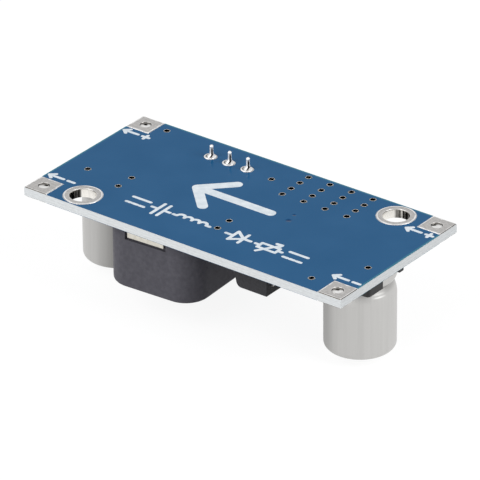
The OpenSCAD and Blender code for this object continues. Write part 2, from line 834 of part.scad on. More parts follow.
// The ferrite shield: a square block with a round bore and a notch for each clip
module choke_shield() {
    notch_w = clip_w + 2 * clip_gap;
    color("#4a4a52") hang(choke_x, choke_y) rotate(choke_skew) difference() {
        choke_block();
        translate([0, 0, clip_t - cut]) cylinder(d = shield_bore_d, h = choke_h + 2 * cut, $fn = 96);
        for (s = [0, 180]) {
            translate([clip_shift, 0, 0]) rotate(s)
                translate([-notch_w / 2, choke_side / 2 - notch_d, clip_t - cut])
                    cube([notch_w, notch_d + cut, clip_h - clip_t + clip_gap + cut]);
        }
    }
}

// The drum core: a waist between two flanges, the lower one notched for the ends of the wire
module choke_core() {
    color("#3c3c40") hang(choke_x, choke_y) rotate(choke_skew) difference() {
        union() {
            translate([0, 0, core_z0]) cylinder(r = core_r, h = flange_t);
            translate([0, 0, core_z0]) cylinder(d = waist_d, h = core_z1 - core_z0);
            translate([0, 0, core_z1 - flange_t]) cylinder(r = core_r, h = flange_t);
        }
        for (s = [0, 180]) {
            rotate(s) translate([-wire_d, tail_r - wire_d, core_z0 - cut])
                cube([2 * wire_d, shield_bore_d, flange_t + 2 * cut]);
        }
    }
}

winding_play = 0.04;
winding_z0 = core_z0 + flange_t + winding_play;
winding_z1 = core_z1 - flange_t - winding_play;
turns = floor((winding_z1 - winding_z0) / wire_d);
turn_pitch = (winding_z1 - winding_z0) / turns;
winding_r = core_r - 0.5;
tail_r = winding_r - wire_d / 2;

// The winding: its outer layer of turns, and an end that goes down to each clip
module choke_winding() {
    turn_x = winding_r - turn_pitch / 2;
    color("#b06a3a") hang(choke_x, choke_y) rotate(choke_skew) {
        rotate_extrude() polygon(concat(
            [[waist_d / 2, winding_z0]],
            [
                for (i = [0:turns - 1])
                    each arc(turn_x, winding_z0 + (i + 0.5) * turn_pitch, turn_pitch / 2, -80, 80, 4)
            ],
            [[waist_d / 2, winding_z1]]
        ));
        for (s = [0, 180]) {
            rotate(s) translate([0, tail_r, clip_t])
                cylinder(d = wire_d, h = winding_z0 + turn_pitch - clip_t);
        }
    }
}

// The ring of glue that holds the core's outer flange in the shield
module choke_glue() {
    color("#8f8a80") hang(choke_x, choke_y) translate([0, 0, core_z1 - flange_t + 0.1]) difference() {
        cylinder(d = shield_bore_d, h = flange_t - 0.2);
        translate([0, 0, -cut]) cylinder(r = core_r, h = flange_t + 2 * cut);
    }
}

// The bent metal clips: a foot under the shield and a tab up its notch
module choke_clips() {
    y0 = choke_side / 2 - clip_t / 2;
    bend = clip_t * 0.8;
    color("#d6d2c6") hang(choke_x, choke_y) rotate(choke_skew) for (s = [0, 180]) {
        translate([clip_shift, 0, 0]) rotate(s) along_x(clip_w) polygon(strip(concat(
            [[choke_side / 2 - clip_foot_l, clip_t / 2]],
            arc(y0 - bend, clip_t / 2 + bend, bend, -90, 0, 4),
            [[y0, clip_h]]
        ), clip_t));
    }
}

// A moulded body, widest at the parting line, from the outlines seen along X and along Y
diode_draft = 0.12;
module diode_outline(half, rounding) {
    polygon(concat(
        [
            [diode_draft - half, diode_floor], [half - diode_draft, diode_floor],
            [half, diode_lead_z], [half - diode_draft, diode_h]
        ],
        arc(rounding + diode_draft / 2 - half, diode_h - rounding, rounding, 90, 180),
        [[-half, diode_lead_z]]
    ));
}

module diode_block() {
    intersection() {
        along_x(2 * diode_l) diode_outline(diode_w / 2, diode_draft);
        rotate(-90) along_x(2 * diode_w) diode_outline(diode_l / 2, diode_round);
    }
}

// The leads: out of each end, down to the land and back under the body
module diode_lead_pair() {
    out = diode_l / 2 + diode_lead_out - diode_lead_t / 2;
    bend = diode_lead_t * 0.8;
    for (s = [-90, 90]) {
        rotate(s) along_x(diode_lead_w) polygon(strip(concat(
            [[diode_l / 2 - 0.4, diode_lead_z]],
            arc(out - bend, diode_lead_z - bend, bend, 90, 0, 4),
            arc(out - bend, diode_lead_t / 2 + bend, bend, 0, -90, 4),
            [[diode_l / 2 - 0.9, diode_lead_t / 2]]
        ), diode_lead_t));
    }
}

module diode_body() {
    color("#333336") hang(diode_x, diode_y) difference() {
        diode_block();
        diode_lead_pair();
    }
}

module diode_leads() {
    color("#cfccc8") hang(diode_x, diode_y) diode_lead_pair();
}

// The tab: a plate that shows past the body and lies under it, with its shoulders cut in
module tab_plate() {
    half = reg_w / 2 - 0.1;
    inner = half - 0.8;
    corner = 0.4;
    linear_extrude(tab_t) polygon([
        [-half, -corner], [corner - half, 0], [half - corner, 0], [half, -corner], [half, -tab_out],
        [inner, -tab_out], [inner, -tab_out - reg_body_l * 0.8], [-inner, -tab_out - reg_body_l * 0.8],
        [-inner, -tab_out], [-half, -tab_out]
    ]);
}

// One lead: out of the body, down in a gull's wing and along the land
module reg_lead() {
    y0 = -tab_out - reg_body_l;
    bend = reg_lead_t;
    knee = y0 - 1.1;
    heel = knee - 0.9;
    along_x(reg_lead_w) polygon(strip(concat(
        [[y0 + 0.6, reg_lead_z]],
        arc(knee + bend, reg_lead_z - bend, bend, 90, 160, 4),
        arc(heel - bend, reg_lead_t / 2 + bend, bend, -20, -90, 4),
        [[-reg_len, reg_lead_t / 2]]
    ), reg_lead_t));
}

module reg_block() {
    y0 = -tab_out - reg_body_l;
    draft = 0.2;
    intersection() {
        along_x(2 * reg_w) polygon([
            [y0 + draft, reg_floor], [y0, reg_lead_z], [y0 + draft, reg_h], [-tab_out - 1.1, reg_h],
            [-tab_out, reg_h - 1.5], [-tab_out, reg_floor]
        ]);
        rotate(-90) along_x(3 * reg_len) polygon([
            [draft - reg_w / 2, reg_floor], [reg_w / 2 - draft, reg_floor], [reg_w / 2, tab_t],
            [reg_w / 2 - draft, reg_h], [draft - reg_w / 2, reg_h], [-reg_w / 2, tab_t]
        ]);
    }
}

module regulator_body() {
    color("#2c2c2e") hang(reg_x, tab_y) difference() {
        reg_block();
        tab_plate();
        for (i = [-2:2]) {
            translate([i * reg_pitch, 0, 0]) reg_lead();
        }
    }
}

module regulator_tab() {
    color("#b9b9bb") hang(reg_x, tab_y) tab_plate();
}

module regulator_leads() {
    color("#cfccc8") hang(reg_x, tab_y) for (i = [-2:2]) {
        translate([i * reg_pitch, 0, 0]) reg_lead();
    }
}

housing_top = trimmer_foot + trimmer_h;
housing_wall = 0.5;
bore_depth = trimmer_h - trimmer_plate_t - 0.8;
groove_depth = 0.22;
groove_z = housing_top - 1.3;
groove_h = 0.34;
seal_d = 0.22;

// The trimmer's housing: a block with cut corners on four feet, bored for the screw
module trimmer_housing() {
    half_l = trimmer_l / 2;
    half_w = trimmer_w / 2;
    edge = 0.25;
    foot_side = 0.9;
    color("#2f5fb0") hang(trimmer_x, trimmer_y, face_z) difference() {
        union() {
            translate([0, 0, trimmer_foot]) linear_extrude(trimmer_h) polygon([
                [edge - half_l, -half_w], [half_l - edge, -half_w], [half_l, edge - half_w],
                [half_l, half_w - edge], [half_l - edge, half_w], [edge - half_l, half_w],
                [-half_l, half_w - edge], [-half_l, edge - half_w]
            ]);
            for (x = [-1, 1], y = [-1, 1]) {
                translate([x * (half_l - 1) - foot_side / 2, y * (half_w - 0.8) - foot_side / 2, 0])
                    cube([foot_side, foot_side, trimmer_foot + cut]);
            }
        }
        trimmer_plate_block();
        translate([screw_dx, screw_dy, housing_top - bore_depth])
            cylinder(d = screw_shaft_d + 2 * screw_play, h = bore_depth + cut);
    }
}

module trimmer_plate_block() {
    l = trimmer_l - 2 * (1 + 0.45);
    w = trimmer_w - 2 * housing_wall;
    translate([-l / 2, -w / 2, trimmer_foot]) cube([l, w, trimmer_plate_t]);
}

// The plate that closes the housing and holds the pins
module trimmer_plate() {
    color("#d8d4c8") hang(trimmer_x, trimmer_y, face_z) difference() {
        trimmer_plate_block();
        for (i = [-1:1]) {
            translate([i * pin_pitch, 0, 0]) cylinder(d = pin_d, h = 3 * trimmer_plate_t, center = true);
        }
    }
}

// Round pins with rounded tips, from inside the plate up through the board
module trimmer_pins() {
    r = pin_d / 2;
    low = face_z - trimmer_foot - trimmer_plate_t;
    tip = laminate_top + mask_t + pin_out;
    color("#c4c2be") for (p = pin_places) {
        at_board(p[0], p[1]) rotate_extrude() polygon(concat(
            [[0, low], [r, low], [r, tip - 0.8 * r]],
            [for (i = [1:5]) [r * cos(18 * i), tip - 0.8 * r * (1 - sin(18 * i))]]
        ));
    }
}

// The brass adjusting screw, with its slot at the far end and a groove for the seal
module adjusting_screw() {
    shaft_r = screw_shaft_d / 2;
    head_r = screw_head_d / 2;
    tip = housing_top + screw_out;
    color("#c9a24a") hang(trimmer_x + screw_dx, trimmer_y + screw_dy, face_z) difference() {
        rotate_extrude() polygon([
            [0, housing_top - bore_depth + 0.3], [shaft_r, housing_top - bore_depth + 0.3],
            [shaft_r, groove_z], [shaft_r - groove_depth, groove_z],
            [shaft_r - groove_depth, groove_z + groove_h], [shaft_r, groove_z + groove_h],
            [shaft_r, housing_top + screw_play], [head_r, housing_top + screw_play],
            [head_r, tip - 0.1], [head_r - 0.1, tip], [0, tip]
        ]);
        translate([-slot_w / 2, -screw_head_d, tip - slot_depth])
            cube([slot_w, 2 * screw_head_d, slot_depth + cut]);
    }
}

// The seal ring in the screw's groove, clear of the screw and the bore by a hair
module screw_seal() {
    bore_r = screw_shaft_d / 2 + screw_play;
    color("#7a3a2a") hang(trimmer_x + screw_dx, trimmer_y + screw_dy, face_z)
        translate([0, 0, groove_z + groove_h / 2]) rotate_extrude()
            translate([bore_r - hair - seal_d / 2, 0]) circle(d = seal_d);
}

// A chip part's body between its two metal ends
module chip_body(l, w, h) {
    inset = 0.03;
    translate([inset - w / 2, chip_end_l - l / 2, inset])
        cube([w - 2 * inset, l - 2 * chip_end_l, h - 2 * inset]);
}

module chip_ends(l, w, h) {
    for (s = [0, 180]) {
        rotate(s) translate([-w / 2, l / 2 - chip_end_l, 0]) cube([w, chip_end_l, h]);
    }
}

module chip_resistor() {
    color("#1e1e20") hang(chip_x, resistor_y) chip_body(resistor_l, resistor_w, resistor_h);
}

module chip_resistor_ends() {
    color("#cfccc8") hang(chip_x, resistor_y) chip_ends(resistor_l, resistor_w, resistor_h);
}

module chip_capacitor() {
    color("#a98a5e") hang(chip_x, chip_cap_y) chip_body(chip_cap_l, chip_cap_w, chip_cap_h);
}

module chip_capacitor_ends() {
    color("#cfccc8") hang(chip_x, chip_cap_y) chip_ends(chip_cap_l, chip_cap_w, chip_cap_h);
}

board_laminate();
solder_side_mask();
component_side_mask();
corner_pads();
mounting_rings();
via_barrels();
trimmer_pads();
component_lands();
solder_side_legend();
component_side_legend();
corner_pad_solder();
trimmer_pin_solder();
surface_solder();
input_can();
input_can_base();
input_can_terminals();
output_can();
output_can_base();
output_can_terminals();
can_ink_marks();
choke_shield();
choke_core();
choke_winding();
choke_glue();
choke_clips();
diode_body();
diode_leads();
regulator_body();
regulator_tab();
regulator_leads();
trimmer_housing();
trimmer_plate();
trimmer_pins();
adjusting_screw();
screw_seal();
chip_resistor();
chip_resistor_ends();
chip_capacitor();
chip_capacitor_ends();
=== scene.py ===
# %% [markdown]
# # A small step-down converter board
# The object is a blue circuit board, 43 mm long, that lies with its bare solder side up. Its parts hang
# below it: two aluminium cans, a square choke, a flat power regulator, a diode and a trimmer.
# The solids come from a CAD model in real size. Here they get their finishes, and the pieces whose
# surface matters most are made again with finer shapes, each in the place of the solid that it stands for.

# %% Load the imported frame
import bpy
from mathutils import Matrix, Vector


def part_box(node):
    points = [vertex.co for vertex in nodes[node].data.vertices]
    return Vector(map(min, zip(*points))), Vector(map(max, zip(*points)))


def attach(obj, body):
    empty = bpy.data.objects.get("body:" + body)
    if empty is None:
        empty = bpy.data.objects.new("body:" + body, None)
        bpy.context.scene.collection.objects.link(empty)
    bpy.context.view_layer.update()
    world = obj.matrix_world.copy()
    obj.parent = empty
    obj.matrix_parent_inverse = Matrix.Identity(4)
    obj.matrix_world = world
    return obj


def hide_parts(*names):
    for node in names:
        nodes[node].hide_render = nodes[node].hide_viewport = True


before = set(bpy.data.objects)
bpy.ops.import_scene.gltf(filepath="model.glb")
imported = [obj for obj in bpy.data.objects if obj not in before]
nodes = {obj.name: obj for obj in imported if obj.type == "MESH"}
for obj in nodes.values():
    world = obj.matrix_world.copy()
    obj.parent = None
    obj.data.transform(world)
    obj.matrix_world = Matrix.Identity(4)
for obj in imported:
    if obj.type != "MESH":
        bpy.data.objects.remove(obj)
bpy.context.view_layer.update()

# %% The tools that the cells use
import math

import bmesh
import bpy
from mathutils import Matrix, Vector, noise

MM = 0.001
materials = {}

# %% [markdown]
# ## The levels of the board
# Everything on a circuit board sits on one of a few levels, so they are measured once from the solids:
# the laminate's two faces, the outer faces of the copper, and the outer face of the blue mask.

# %% Measure the board
board_low, board_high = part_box("board_laminate")
copper_low, copper_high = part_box("corner_pads")
mask_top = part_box("solder_side_mask")[1].z
land_face, pad_face = copper_low.z, copper_high.z
bottom, top = land_face / MM, pad_face / MM
print("laminate from", round(board_low.z / MM, 3), "to", round(board_high.z / MM, 3), "mm")
print("copper faces at", round(bottom, 3), "and", round(top, 3), "mm")

# %% [markdown]
# ## Colours and shader nodes
# A colour is written as the sRGB hex value that one reads off a photograph, and shaders want linear light,
# so one function converts it. One more function adds a node with its settings and its links.

# %% A colour and a node
def linear(hex_colour):
    """A colour written as #rrggbb, turned from sRGB to linear light."""
    channels = [int(hex_colour[i:i + 2], 16) / 255 for i in (1, 3, 5)]
    curve = [c / 12.92 if c <= 0.04045 else ((c + 0.055) / 1.055) ** 2.4 for c in channels]
    return (*curve, 1.0)


def add(tree, kind, settings=None, **links):
    """Adds a shader or geometry node. Settings are properties, links are inputs by name or position.
    A node that is given as an input stands for its first output."""
    made = tree.nodes.new(kind)
    for key, value in (settings or {}).items():
        setattr(made, key, value)
    for key, value in links.items():
        by_place = key[0] == "i" and key[1:].isdigit()
        socket = made.inputs[int(key[1:]) if by_place else key.replace("_", " ")]
        if isinstance(value, bpy.types.Node):
            value = value.outputs[0]
        if isinstance(value, bpy.types.NodeSocket):
            tree.links.new(value, socket)
        else:
            socket.default_value = value
    return made


print("mid grey is", round(linear("#808080")[0], 3), "in linear light")

# %% [markdown]
# ## How a finish is built
# A real surface is never one flat colour. Its colour drifts in soft patches and its skin has a fine grain,
# so most finishes here are one noise through a colour ramp and a second noise as a bump.
# Patterns read Object coordinates, which are metres here, so a pattern's scale is one over its real size.

# %% Drifting colour
def new_material(name, **constants):
    """A material with a Principled shader, whose constant values sit on the shader's own sockets."""
    made = bpy.data.materials.new(name)
    made.use_nodes = True
    shader = made.node_tree.nodes["Principled BSDF"]
    for key, value in constants.items():
        shader.inputs[key.replace("_", " ")].default_value = value
    materials[name] = made
    return made.node_tree, shader


def per_mm(size):
    """The texture scale of a pattern that repeats every so many millimetres."""
    return 1 / (size * MM)


def cloud(tree, size, detail, stretch=(1, 1, 1)):
    """A soft noise in patches of a size in mm, on the object's own coordinates."""
    where = add(tree, "ShaderNodeTexCoord").outputs["Object"]
    spread = add(tree, "ShaderNodeMapping", Vector=where, Scale=stretch)
    return add(tree, "ShaderNodeTexNoise", Vector=spread, Scale=per_mm(size), Detail=detail)


def run_colour(tree, shader, share, low, high, places=(0.3, 0.7)):
    """Lets the base colour run from one hex colour to another while a share passes two places."""
    ramp = add(tree, "ShaderNodeValToRGB", Fac=share)
    for end, place, colour in zip(ramp.color_ramp.elements, places, (low, high)):
        end.position = place
        end.color = linear(colour)
    tree.links.new(ramp.outputs["Color"], shader.inputs["Base Color"])
    return ramp


def mottle(tree, shader, low, high, size, detail=3.0, stretch=(1, 1, 1)):
    """Lets the base colour drift between two hex colours in patches of a size in mm."""
    return run_colour(tree, shader, cloud(tree, size, detail, stretch), low, high)


print("a 0.2 mm pattern has a scale of", per_mm(0.2))

# %% Fine grain
def raise_skin(tree, shader, share, height, strength=1.0):
    """Raises the skin by a share of a height in mm."""
    relief = add(tree, "ShaderNodeBump", Height=share, Distance=height * MM, Strength=strength)
    tree.links.new(relief.outputs["Normal"], shader.inputs["Normal"])


def bump(tree, shader, size, height, detail=2.0, stretch=(1, 1, 1), strength=1.0):
    """Raises a grain of a size and height, both in mm."""
    raise_skin(tree, shader, cloud(tree, size, detail, stretch), height, strength)


print("a grain needs a size and a height, such as 0.08 and 0.008 mm on moulded epoxy")

# %% Finish a solid that keeps its shape
def finish_nodes(material, *names):
    """Gives CAD nodes that keep their own shapes a material."""
    for name in names:
        nodes[name].data.materials.clear()
        nodes[name].data.materials.append(materials[material])
    print(material, "on", *names)


print("solids in the frame:", len(nodes))

# %% [markdown]
# ## The laminate
# The board's core is FR-4, woven glass cloth in clear epoxy, cut to size with a router. The cut edge is
# pale, matt and a little translucent, and shows the cloth's layers as faint lines. A wave texture along Z
# draws the layers, a noise breaks them up, and both stay weak. The solid's own shape is right, so it is kept.

# %% FR-4 laminate
tree, shader = new_material("fr4_laminate", Roughness=0.6, Specular_IOR_Level=0.3)
CLOTH_LAYER = 0.18
THREAD = 0.16
LAYER_SHARE = 0.2
where = add(tree, "ShaderNodeTexCoord").outputs["Object"]
layers = add(
    tree, "ShaderNodeTexWave", {"bands_direction": "Z"},
    Vector=where, Scale=per_mm(CLOTH_LAYER) / (2 * math.pi), Distortion=3.0, Detail=2.0, Detail_Scale=2.0)
threads = cloud(tree, THREAD, detail=3.0, stretch=(0.35, 0.35, 1))
mixed = add(
    tree, "ShaderNodeMath", {"operation": "MULTIPLY_ADD"},
    i0=layers.outputs["Fac"], i1=LAYER_SHARE, i2=threads)
run_colour(tree, shader, mixed, "#d6d9db", "#e4e8ea", places=(0.35, 0.8))
raise_skin(tree, shader, threads, height=0.012, strength=0.5)
finish_nodes("fr4_laminate", "board_laminate")
print("laminate edge:", round((board_high.z - board_low.z) / MM, 2), "mm thick")

# %% [markdown]
# ## The solder mask
# The blue film is photo-imaged epoxy ink, flooded over the copper and baked, so it is smooth and glossy
# and lies on the copper like a coat of paint. Along the ends and the back the copper stops a little short
# of the edge, and the pale laminate shines through as a lighter line. The distance to the rim comes from
# the Object coordinates. Two small vias near the middle are closed by the film, which sags into them.

# %% Shares and tints
def own_axes(tree):
    """The object's own X, Y and Z."""
    where = add(tree, "ShaderNodeTexCoord").outputs["Object"]
    return add(tree, "ShaderNodeSeparateXYZ", Vector=where).outputs


def rim_share(tree, near, far, front=True):
    """A share that is 1 out at the board's rim and falls to 0 between two distances from it, in mm."""
    gaps = []
    for axis, reach in (("X", board_high.x), ("Y", board_high.y)):
        size = own_axes(tree)[axis]
        if front or axis == "X":
            size = add(tree, "ShaderNodeMath", {"operation": "ABSOLUTE"}, i0=size)
        gaps.append(add(tree, "ShaderNodeMath", {"operation": "SUBTRACT"}, i0=reach, i1=size))
    rim = add(tree, "ShaderNodeMath", {"operation": "MINIMUM"}, i0=gaps[0], i1=gaps[1])
    return add(tree, "ShaderNodeMapRange", Value=rim, From_Min=far * MM, From_Max=near * MM)


def tint(tree, shader, share, colour, under):
    """Lays a hex colour over the base colour, by a share from a node or one kept on the mesh by name."""
    if isinstance(share, str):
        share = add(tree, "ShaderNodeAttribute", {"attribute_name": share}).outputs["Fac"]
    mixed = add(tree, "ShaderNodeMix", {"data_type": "RGBA"}, i0=share, i6=under, i7=linear(colour))
    tree.links.new(mixed.outputs[2], shader.inputs["Base Color"])
    return mixed.outputs[2]


COPPER_SETBACK = 0.2
print("the copper stops", COPPER_SETBACK, "mm from the edge")

# %% Blue solder mask
tree, shader = new_material("epoxy_solder_mask", Roughness=0.16, Specular_IOR_Level=0.08)
skin = mottle(tree, shader, "#195480", "#215985", size=6)
bare = rim_share(tree, COPPER_SETBACK - 0.08, COPPER_SETBACK + 0.08, front=False)
skin = tint(tree, shader, bare, "#39788f", under=skin)
axes = own_axes(tree)
flat = add(tree, "ShaderNodeCombineXYZ", X=axes["X"], Y=axes["Y"])
CLOSED_VIAS = ((6.45, 0.42, 0.46), (6.2, 1.78, 0.3))
sag_and_painted_shade = 0.0
for x, y, radius in CLOSED_VIAS:
    far = add(tree, "ShaderNodeVectorMath", {"operation": "DISTANCE"}, i0=flat, i1=(x * MM, y * MM, 0))
    dent = add(
        tree, "ShaderNodeMapRange", {"interpolation_type": "SMOOTHSTEP"},
        Value=far.outputs["Value"], From_Min=0.15 * radius * MM, From_Max=radius * MM, To_Min=1.0, To_Max=0.0)
    sag_and_painted_shade = add(tree, "ShaderNodeMath", {"operation": "ADD"}, i0=sag_and_painted_shade, i1=dent)
# Painted shade: the film is painted darker where it sags into the closed vias.
tint(tree, shader, sag_and_painted_shade, "#08335e", under=skin)
print("closed vias:", len(CLOSED_VIAS))

# %% The film's height
PEEL = 0.9
FILM_HEIGHT = 0.005
height = cloud(tree, PEEL, detail=1.0)
for share, drop in ((bare, -1.5), (sag_and_painted_shade, -30.0)):
    height = add(tree, "ShaderNodeMath", {"operation": "MULTIPLY_ADD"}, i0=share, i1=drop, i2=height)
raise_skin(tree, shader, height, FILM_HEIGHT, strength=0.4)
finish_nodes("epoxy_solder_mask", "solder_side_mask", "component_side_mask")
print("mask film over", round((board_high.x - board_low.x) / MM, 1), "mm of board")

# %% [markdown]
# ## The printed legend
# The white marks are epoxy ink, screen-printed about 0.02 mm thick. Their outlines are already solids.
# The ink is matt, a little uneven, and slightly cooler than the white around it.

# %% A whole finish
def finish(name, low, high, size, grain=0, height=0, detail=3.0, grain_detail=2.0, **constants):
    """A material with drifting colour in patches of a size and a grain of a size and height, all in mm."""
    tree, shader = new_material(name, **constants)
    skin = mottle(tree, shader, low, high, size, detail)
    if grain:
        bump(tree, shader, grain, height, grain_detail)
    print("finish:", name, "in patches of", size, "mm")
    return tree, shader, skin


print("a finish needs two colours, a patch size, a grain size and a grain height")

# %% White legend ink
finish(
    "screen_printed_epoxy_ink", "#d0dae2", "#e6ecf1", size=0.9, grain=0.12, height=0.004,
    Roughness=0.55, Specular_IOR_Level=0.3)
finish_nodes("screen_printed_epoxy_ink", "solder_side_legend", "component_side_legend")

# %% [markdown]
# ## Tinned copper
# The pads are copper dipped in molten tin and levelled with hot air. That leaves a satin grey skin, a little
# wavy, with raised rims, and a painted highlight makes the rims brighter. Right at the board's rim the router
# has torn the tin, which shows as a thin dark line. Metals keep the default IOR and take their colour from
# the base colour alone.

# %% Tin levelled by hot air
def height_share(tree, low, high):
    """A share that rises from 0 to 1 between two heights in mm."""
    return add(
        tree, "ShaderNodeMapRange", {"interpolation_type": "SMOOTHSTEP"},
        Value=own_axes(tree)["Z"], From_Min=low * MM, From_Max=high * MM)


def vary_roughness(tree, shader, low, high, size):
    """Lets the roughness drift, as on a surface that has been handled and soldered."""
    spread = add(
        tree, "ShaderNodeMapRange", Value=cloud(tree, size, detail=2.0), From_Min=0.3, From_Max=0.7,
        To_Min=low, To_Max=high)
    tree.links.new(spread.outputs["Result"], shader.inputs["Roughness"])


def levelled_tin(name, swell):
    """Satin grey tin with a painted highlight where it stands above the pads' faces, up to a swell in mm."""
    tree, shader = new_material(name, Metallic=1.0, Roughness=0.36)
    skin = mottle(tree, shader, "#b7b5b3", "#cfcdcb", size=0.3, detail=5.0)
    # Painted highlight: the tin is painted lighter where it stands above the pads' faces.
    skin = tint(tree, shader, height_share(tree, top + 0.002, top + swell), "#fbfafa", under=skin)
    vary_roughness(tree, shader, 0.3, 0.44, size=0.5)
    return tree, shader, skin


tree, shader, skin = levelled_tin("hot_air_levelled_tin", swell=0.02)
tint(tree, shader, rim_share(tree, 0.06, 0.09), "#4a4237", under=skin)
bump(tree, shader, size=0.45, height=0.012, detail=3.0)
print("pad faces are at", round(top, 3), "mm")

# %% [markdown]
# ## Round and square pads
# A plated hole is one closed skin: over the top ring, down its side, through the hole and out over the
# ring below. The skin is lofted around the hole's axis. Each point of the section says how far it lies
# from the hole's wall: a fixed distance in millimetres, plus a share of the way to the pad's outline.
# The outline is a circle for the rings and a square with small corners for the pads at the board's corners,
# given as the distance from the middle at an angle.

# %% The outline of a square pad
def square_outline(half, corner):
    """The distance from the centre to a square with rounded corners, at an angle."""
    def reach(angle):
        c, s = abs(math.cos(angle)), abs(math.sin(angle))
        flat = half / max(c, s)
        inner = half - corner
        if min(c, s) * flat <= inner:
            return flat
        along = inner * (c + s)
        return along + math.sqrt(max(along * along - 2 * inner * inner + corner * corner, 0))
    return reach


print("a 3 mm square reaches", round(square_outline(1.5, 0.12)(math.pi / 4), 2), "mm to its rounded corner")

# %% Loft a plated hole
RIPPLES_PER_MM = 1.7


def join_loops(work, loops):
    """Faces between each loop of points and the next. A loop may be a single point."""
    for a, b in zip(loops, loops[1:]):
        count = max(len(a), len(b))
        for k in range(count):
            n = (k + 1) % count
            corners = (a[k % len(a)], a[n % len(a)], b[n % len(b)], b[k % len(b)])
            work.faces.new(list(dict.fromkeys(corners)))


def loft(work, centre, hole, outline, section, turns=96, wave=0.0, seed=0):
    """Adds a closed ring around a vertical axis. The section's points are (fixed, share, height), in mm."""
    rings = []
    for fixed, share, height in section:
        ring = []
        for k in range(turns):
            angle = 2 * math.pi * k / turns
            radius = hole + fixed + share * (outline(angle) - hole)
            x = centre[0] / MM + radius * math.cos(angle)
            y = centre[1] / MM + radius * math.sin(angle)
            on_ring = 0.05 < share < 1.2
            spot = Vector((x * RIPPLES_PER_MM, y * RIPPLES_PER_MM, seed))
            ripple = wave * noise.noise(spot) if on_ring else 0
            ring.append(work.verts.new((x * MM, y * MM, (height + ripple) * MM)))
        rings.append(ring)
    join_loops(work, rings + rings[:1])


def plated_section(lining, rim, swell, flare=0.0):
    """The section of a plated hole, from its mouth over the upper ring, down and back over the lower one."""
    upper, lower = board_high.z / MM, board_low.z / MM
    mouth = ((0, -0.05), (0.012, -0.02), (0.045, 0.3 * swell), (0.1, 0.4 * swell))
    over = [(0, 0, top - 0.2)] + [(flare + out, 0, top + rise) for out, rise in mouth]
    flat = [(0, share, top - 0.3 * swell) for share in (0.2, 0.3, 0.4, 0.5, 0.6, 0.7, 0.8)]
    edge = [
        (-2.2 * rim, 1, top), (-1.5 * rim, 1, top + 0.8 * swell), (-rim, 1, top + swell),
        (-0.5 * rim, 1, top + 0.6 * swell), (-0.15 * rim, 1, top - 0.015), (0, 1, top - 0.035)]
    below = [
        (0, 1, upper), (lining, 0, upper), (lining, 0, lower), (0, 1, lower),
        (0, 1, bottom + 0.01), (-0.02, 1, bottom), (0.02, 0, bottom), (0, 0, bottom + 0.02)]
    return over + flat + edge + below


print("a section has", len(plated_section(0.05, 0.08, 0.01)), "points")

# %% [markdown]
# ## Placing a piece
# Every piece rides on a body of the CAD model and may stand for one or more CAD nodes. One function does
# all of that, so no piece is forgotten.

# %% From mesh to object
def new_object(name, mesh):
    """Links a mesh, a lamp or a camera to the scene as an object at the origin."""
    made = bpy.data.objects.new(name, mesh)
    bpy.context.scene.collection.objects.link(made)
    return made


def shade(piece, angle):
    """Smooth shading that breaks at edges sharper than the angle."""
    piece.data.shade_smooth()
    piece.data.set_sharp_from_angle(angle=math.radians(angle))
    return piece


def from_work(name, work):
    """An object from a bmesh, with its faces turned outwards."""
    bmesh.ops.recalc_face_normals(work, faces=work.faces)
    mesh = bpy.data.meshes.new(name)
    work.to_mesh(mesh)
    work.free()
    return new_object(name, mesh)


# %% Dress a piece
def dress(piece, material, stands_for=(), body="module"):
    """Gives a finished piece its material and body, and hides the nodes that it stands for."""
    piece.data.materials.clear()
    piece.data.materials.append(materials[material])
    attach(piece, body)
    if stands_for:
        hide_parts(*stands_for)
    print(piece.name, "faces:", len(piece.data.polygons))


# %% The corner pads
PAD_HOLE = 1.15
PAD_SIDE = 3.05
PAD_CORNER = 0.12
PAD_INSET = 1.55
PAD_FLARE = 0.075
LINING = 0.05
pad_centres = [
    (sx * (board_high.x - PAD_INSET * MM), sy * (board_high.y - PAD_INSET * MM))
    for sx in (-1, 1) for sy in (-1, 1)]
work = bmesh.new()
for k, centre in enumerate(pad_centres):
    section = plated_section(LINING, rim=0.09, swell=0.02, flare=PAD_FLARE)
    loft(work, centre, PAD_HOLE / 2, square_outline(PAD_SIDE / 2, PAD_CORNER), section, wave=0.02, seed=k)
pads = shade(from_work("tinned_corner_pads", work), 40)
dress(pads, "hot_air_levelled_tin", ["corner_pads"])

# %% [markdown]
# ## The mounting rings
# The rings are made as the pads are. Down in each barrel the tin is painted nearly white as a painted
# highlight, with dark patches of painted reflection, heavier on one side. Each barrel has a list of angles
# with how dark the painted reflection is there, and a share between them is kept on the mesh for every point.

# %% Shares kept on a mesh
def clamp(value):
    """Keeps a value between 0 and 1."""
    return min(max(value, 0.0), 1.0)


def paint_points(piece, name, rule):
    """Keeps a share for every point of a mesh, which its material can read by name."""
    kept = piece.data.attributes.new(name, "FLOAT", "POINT")
    for i, v in enumerate(piece.data.vertices):
        kept.data[i].value = clamp(rule(v.co))
    print(piece.name, "keeps", name, "for", len(kept.data), "points")


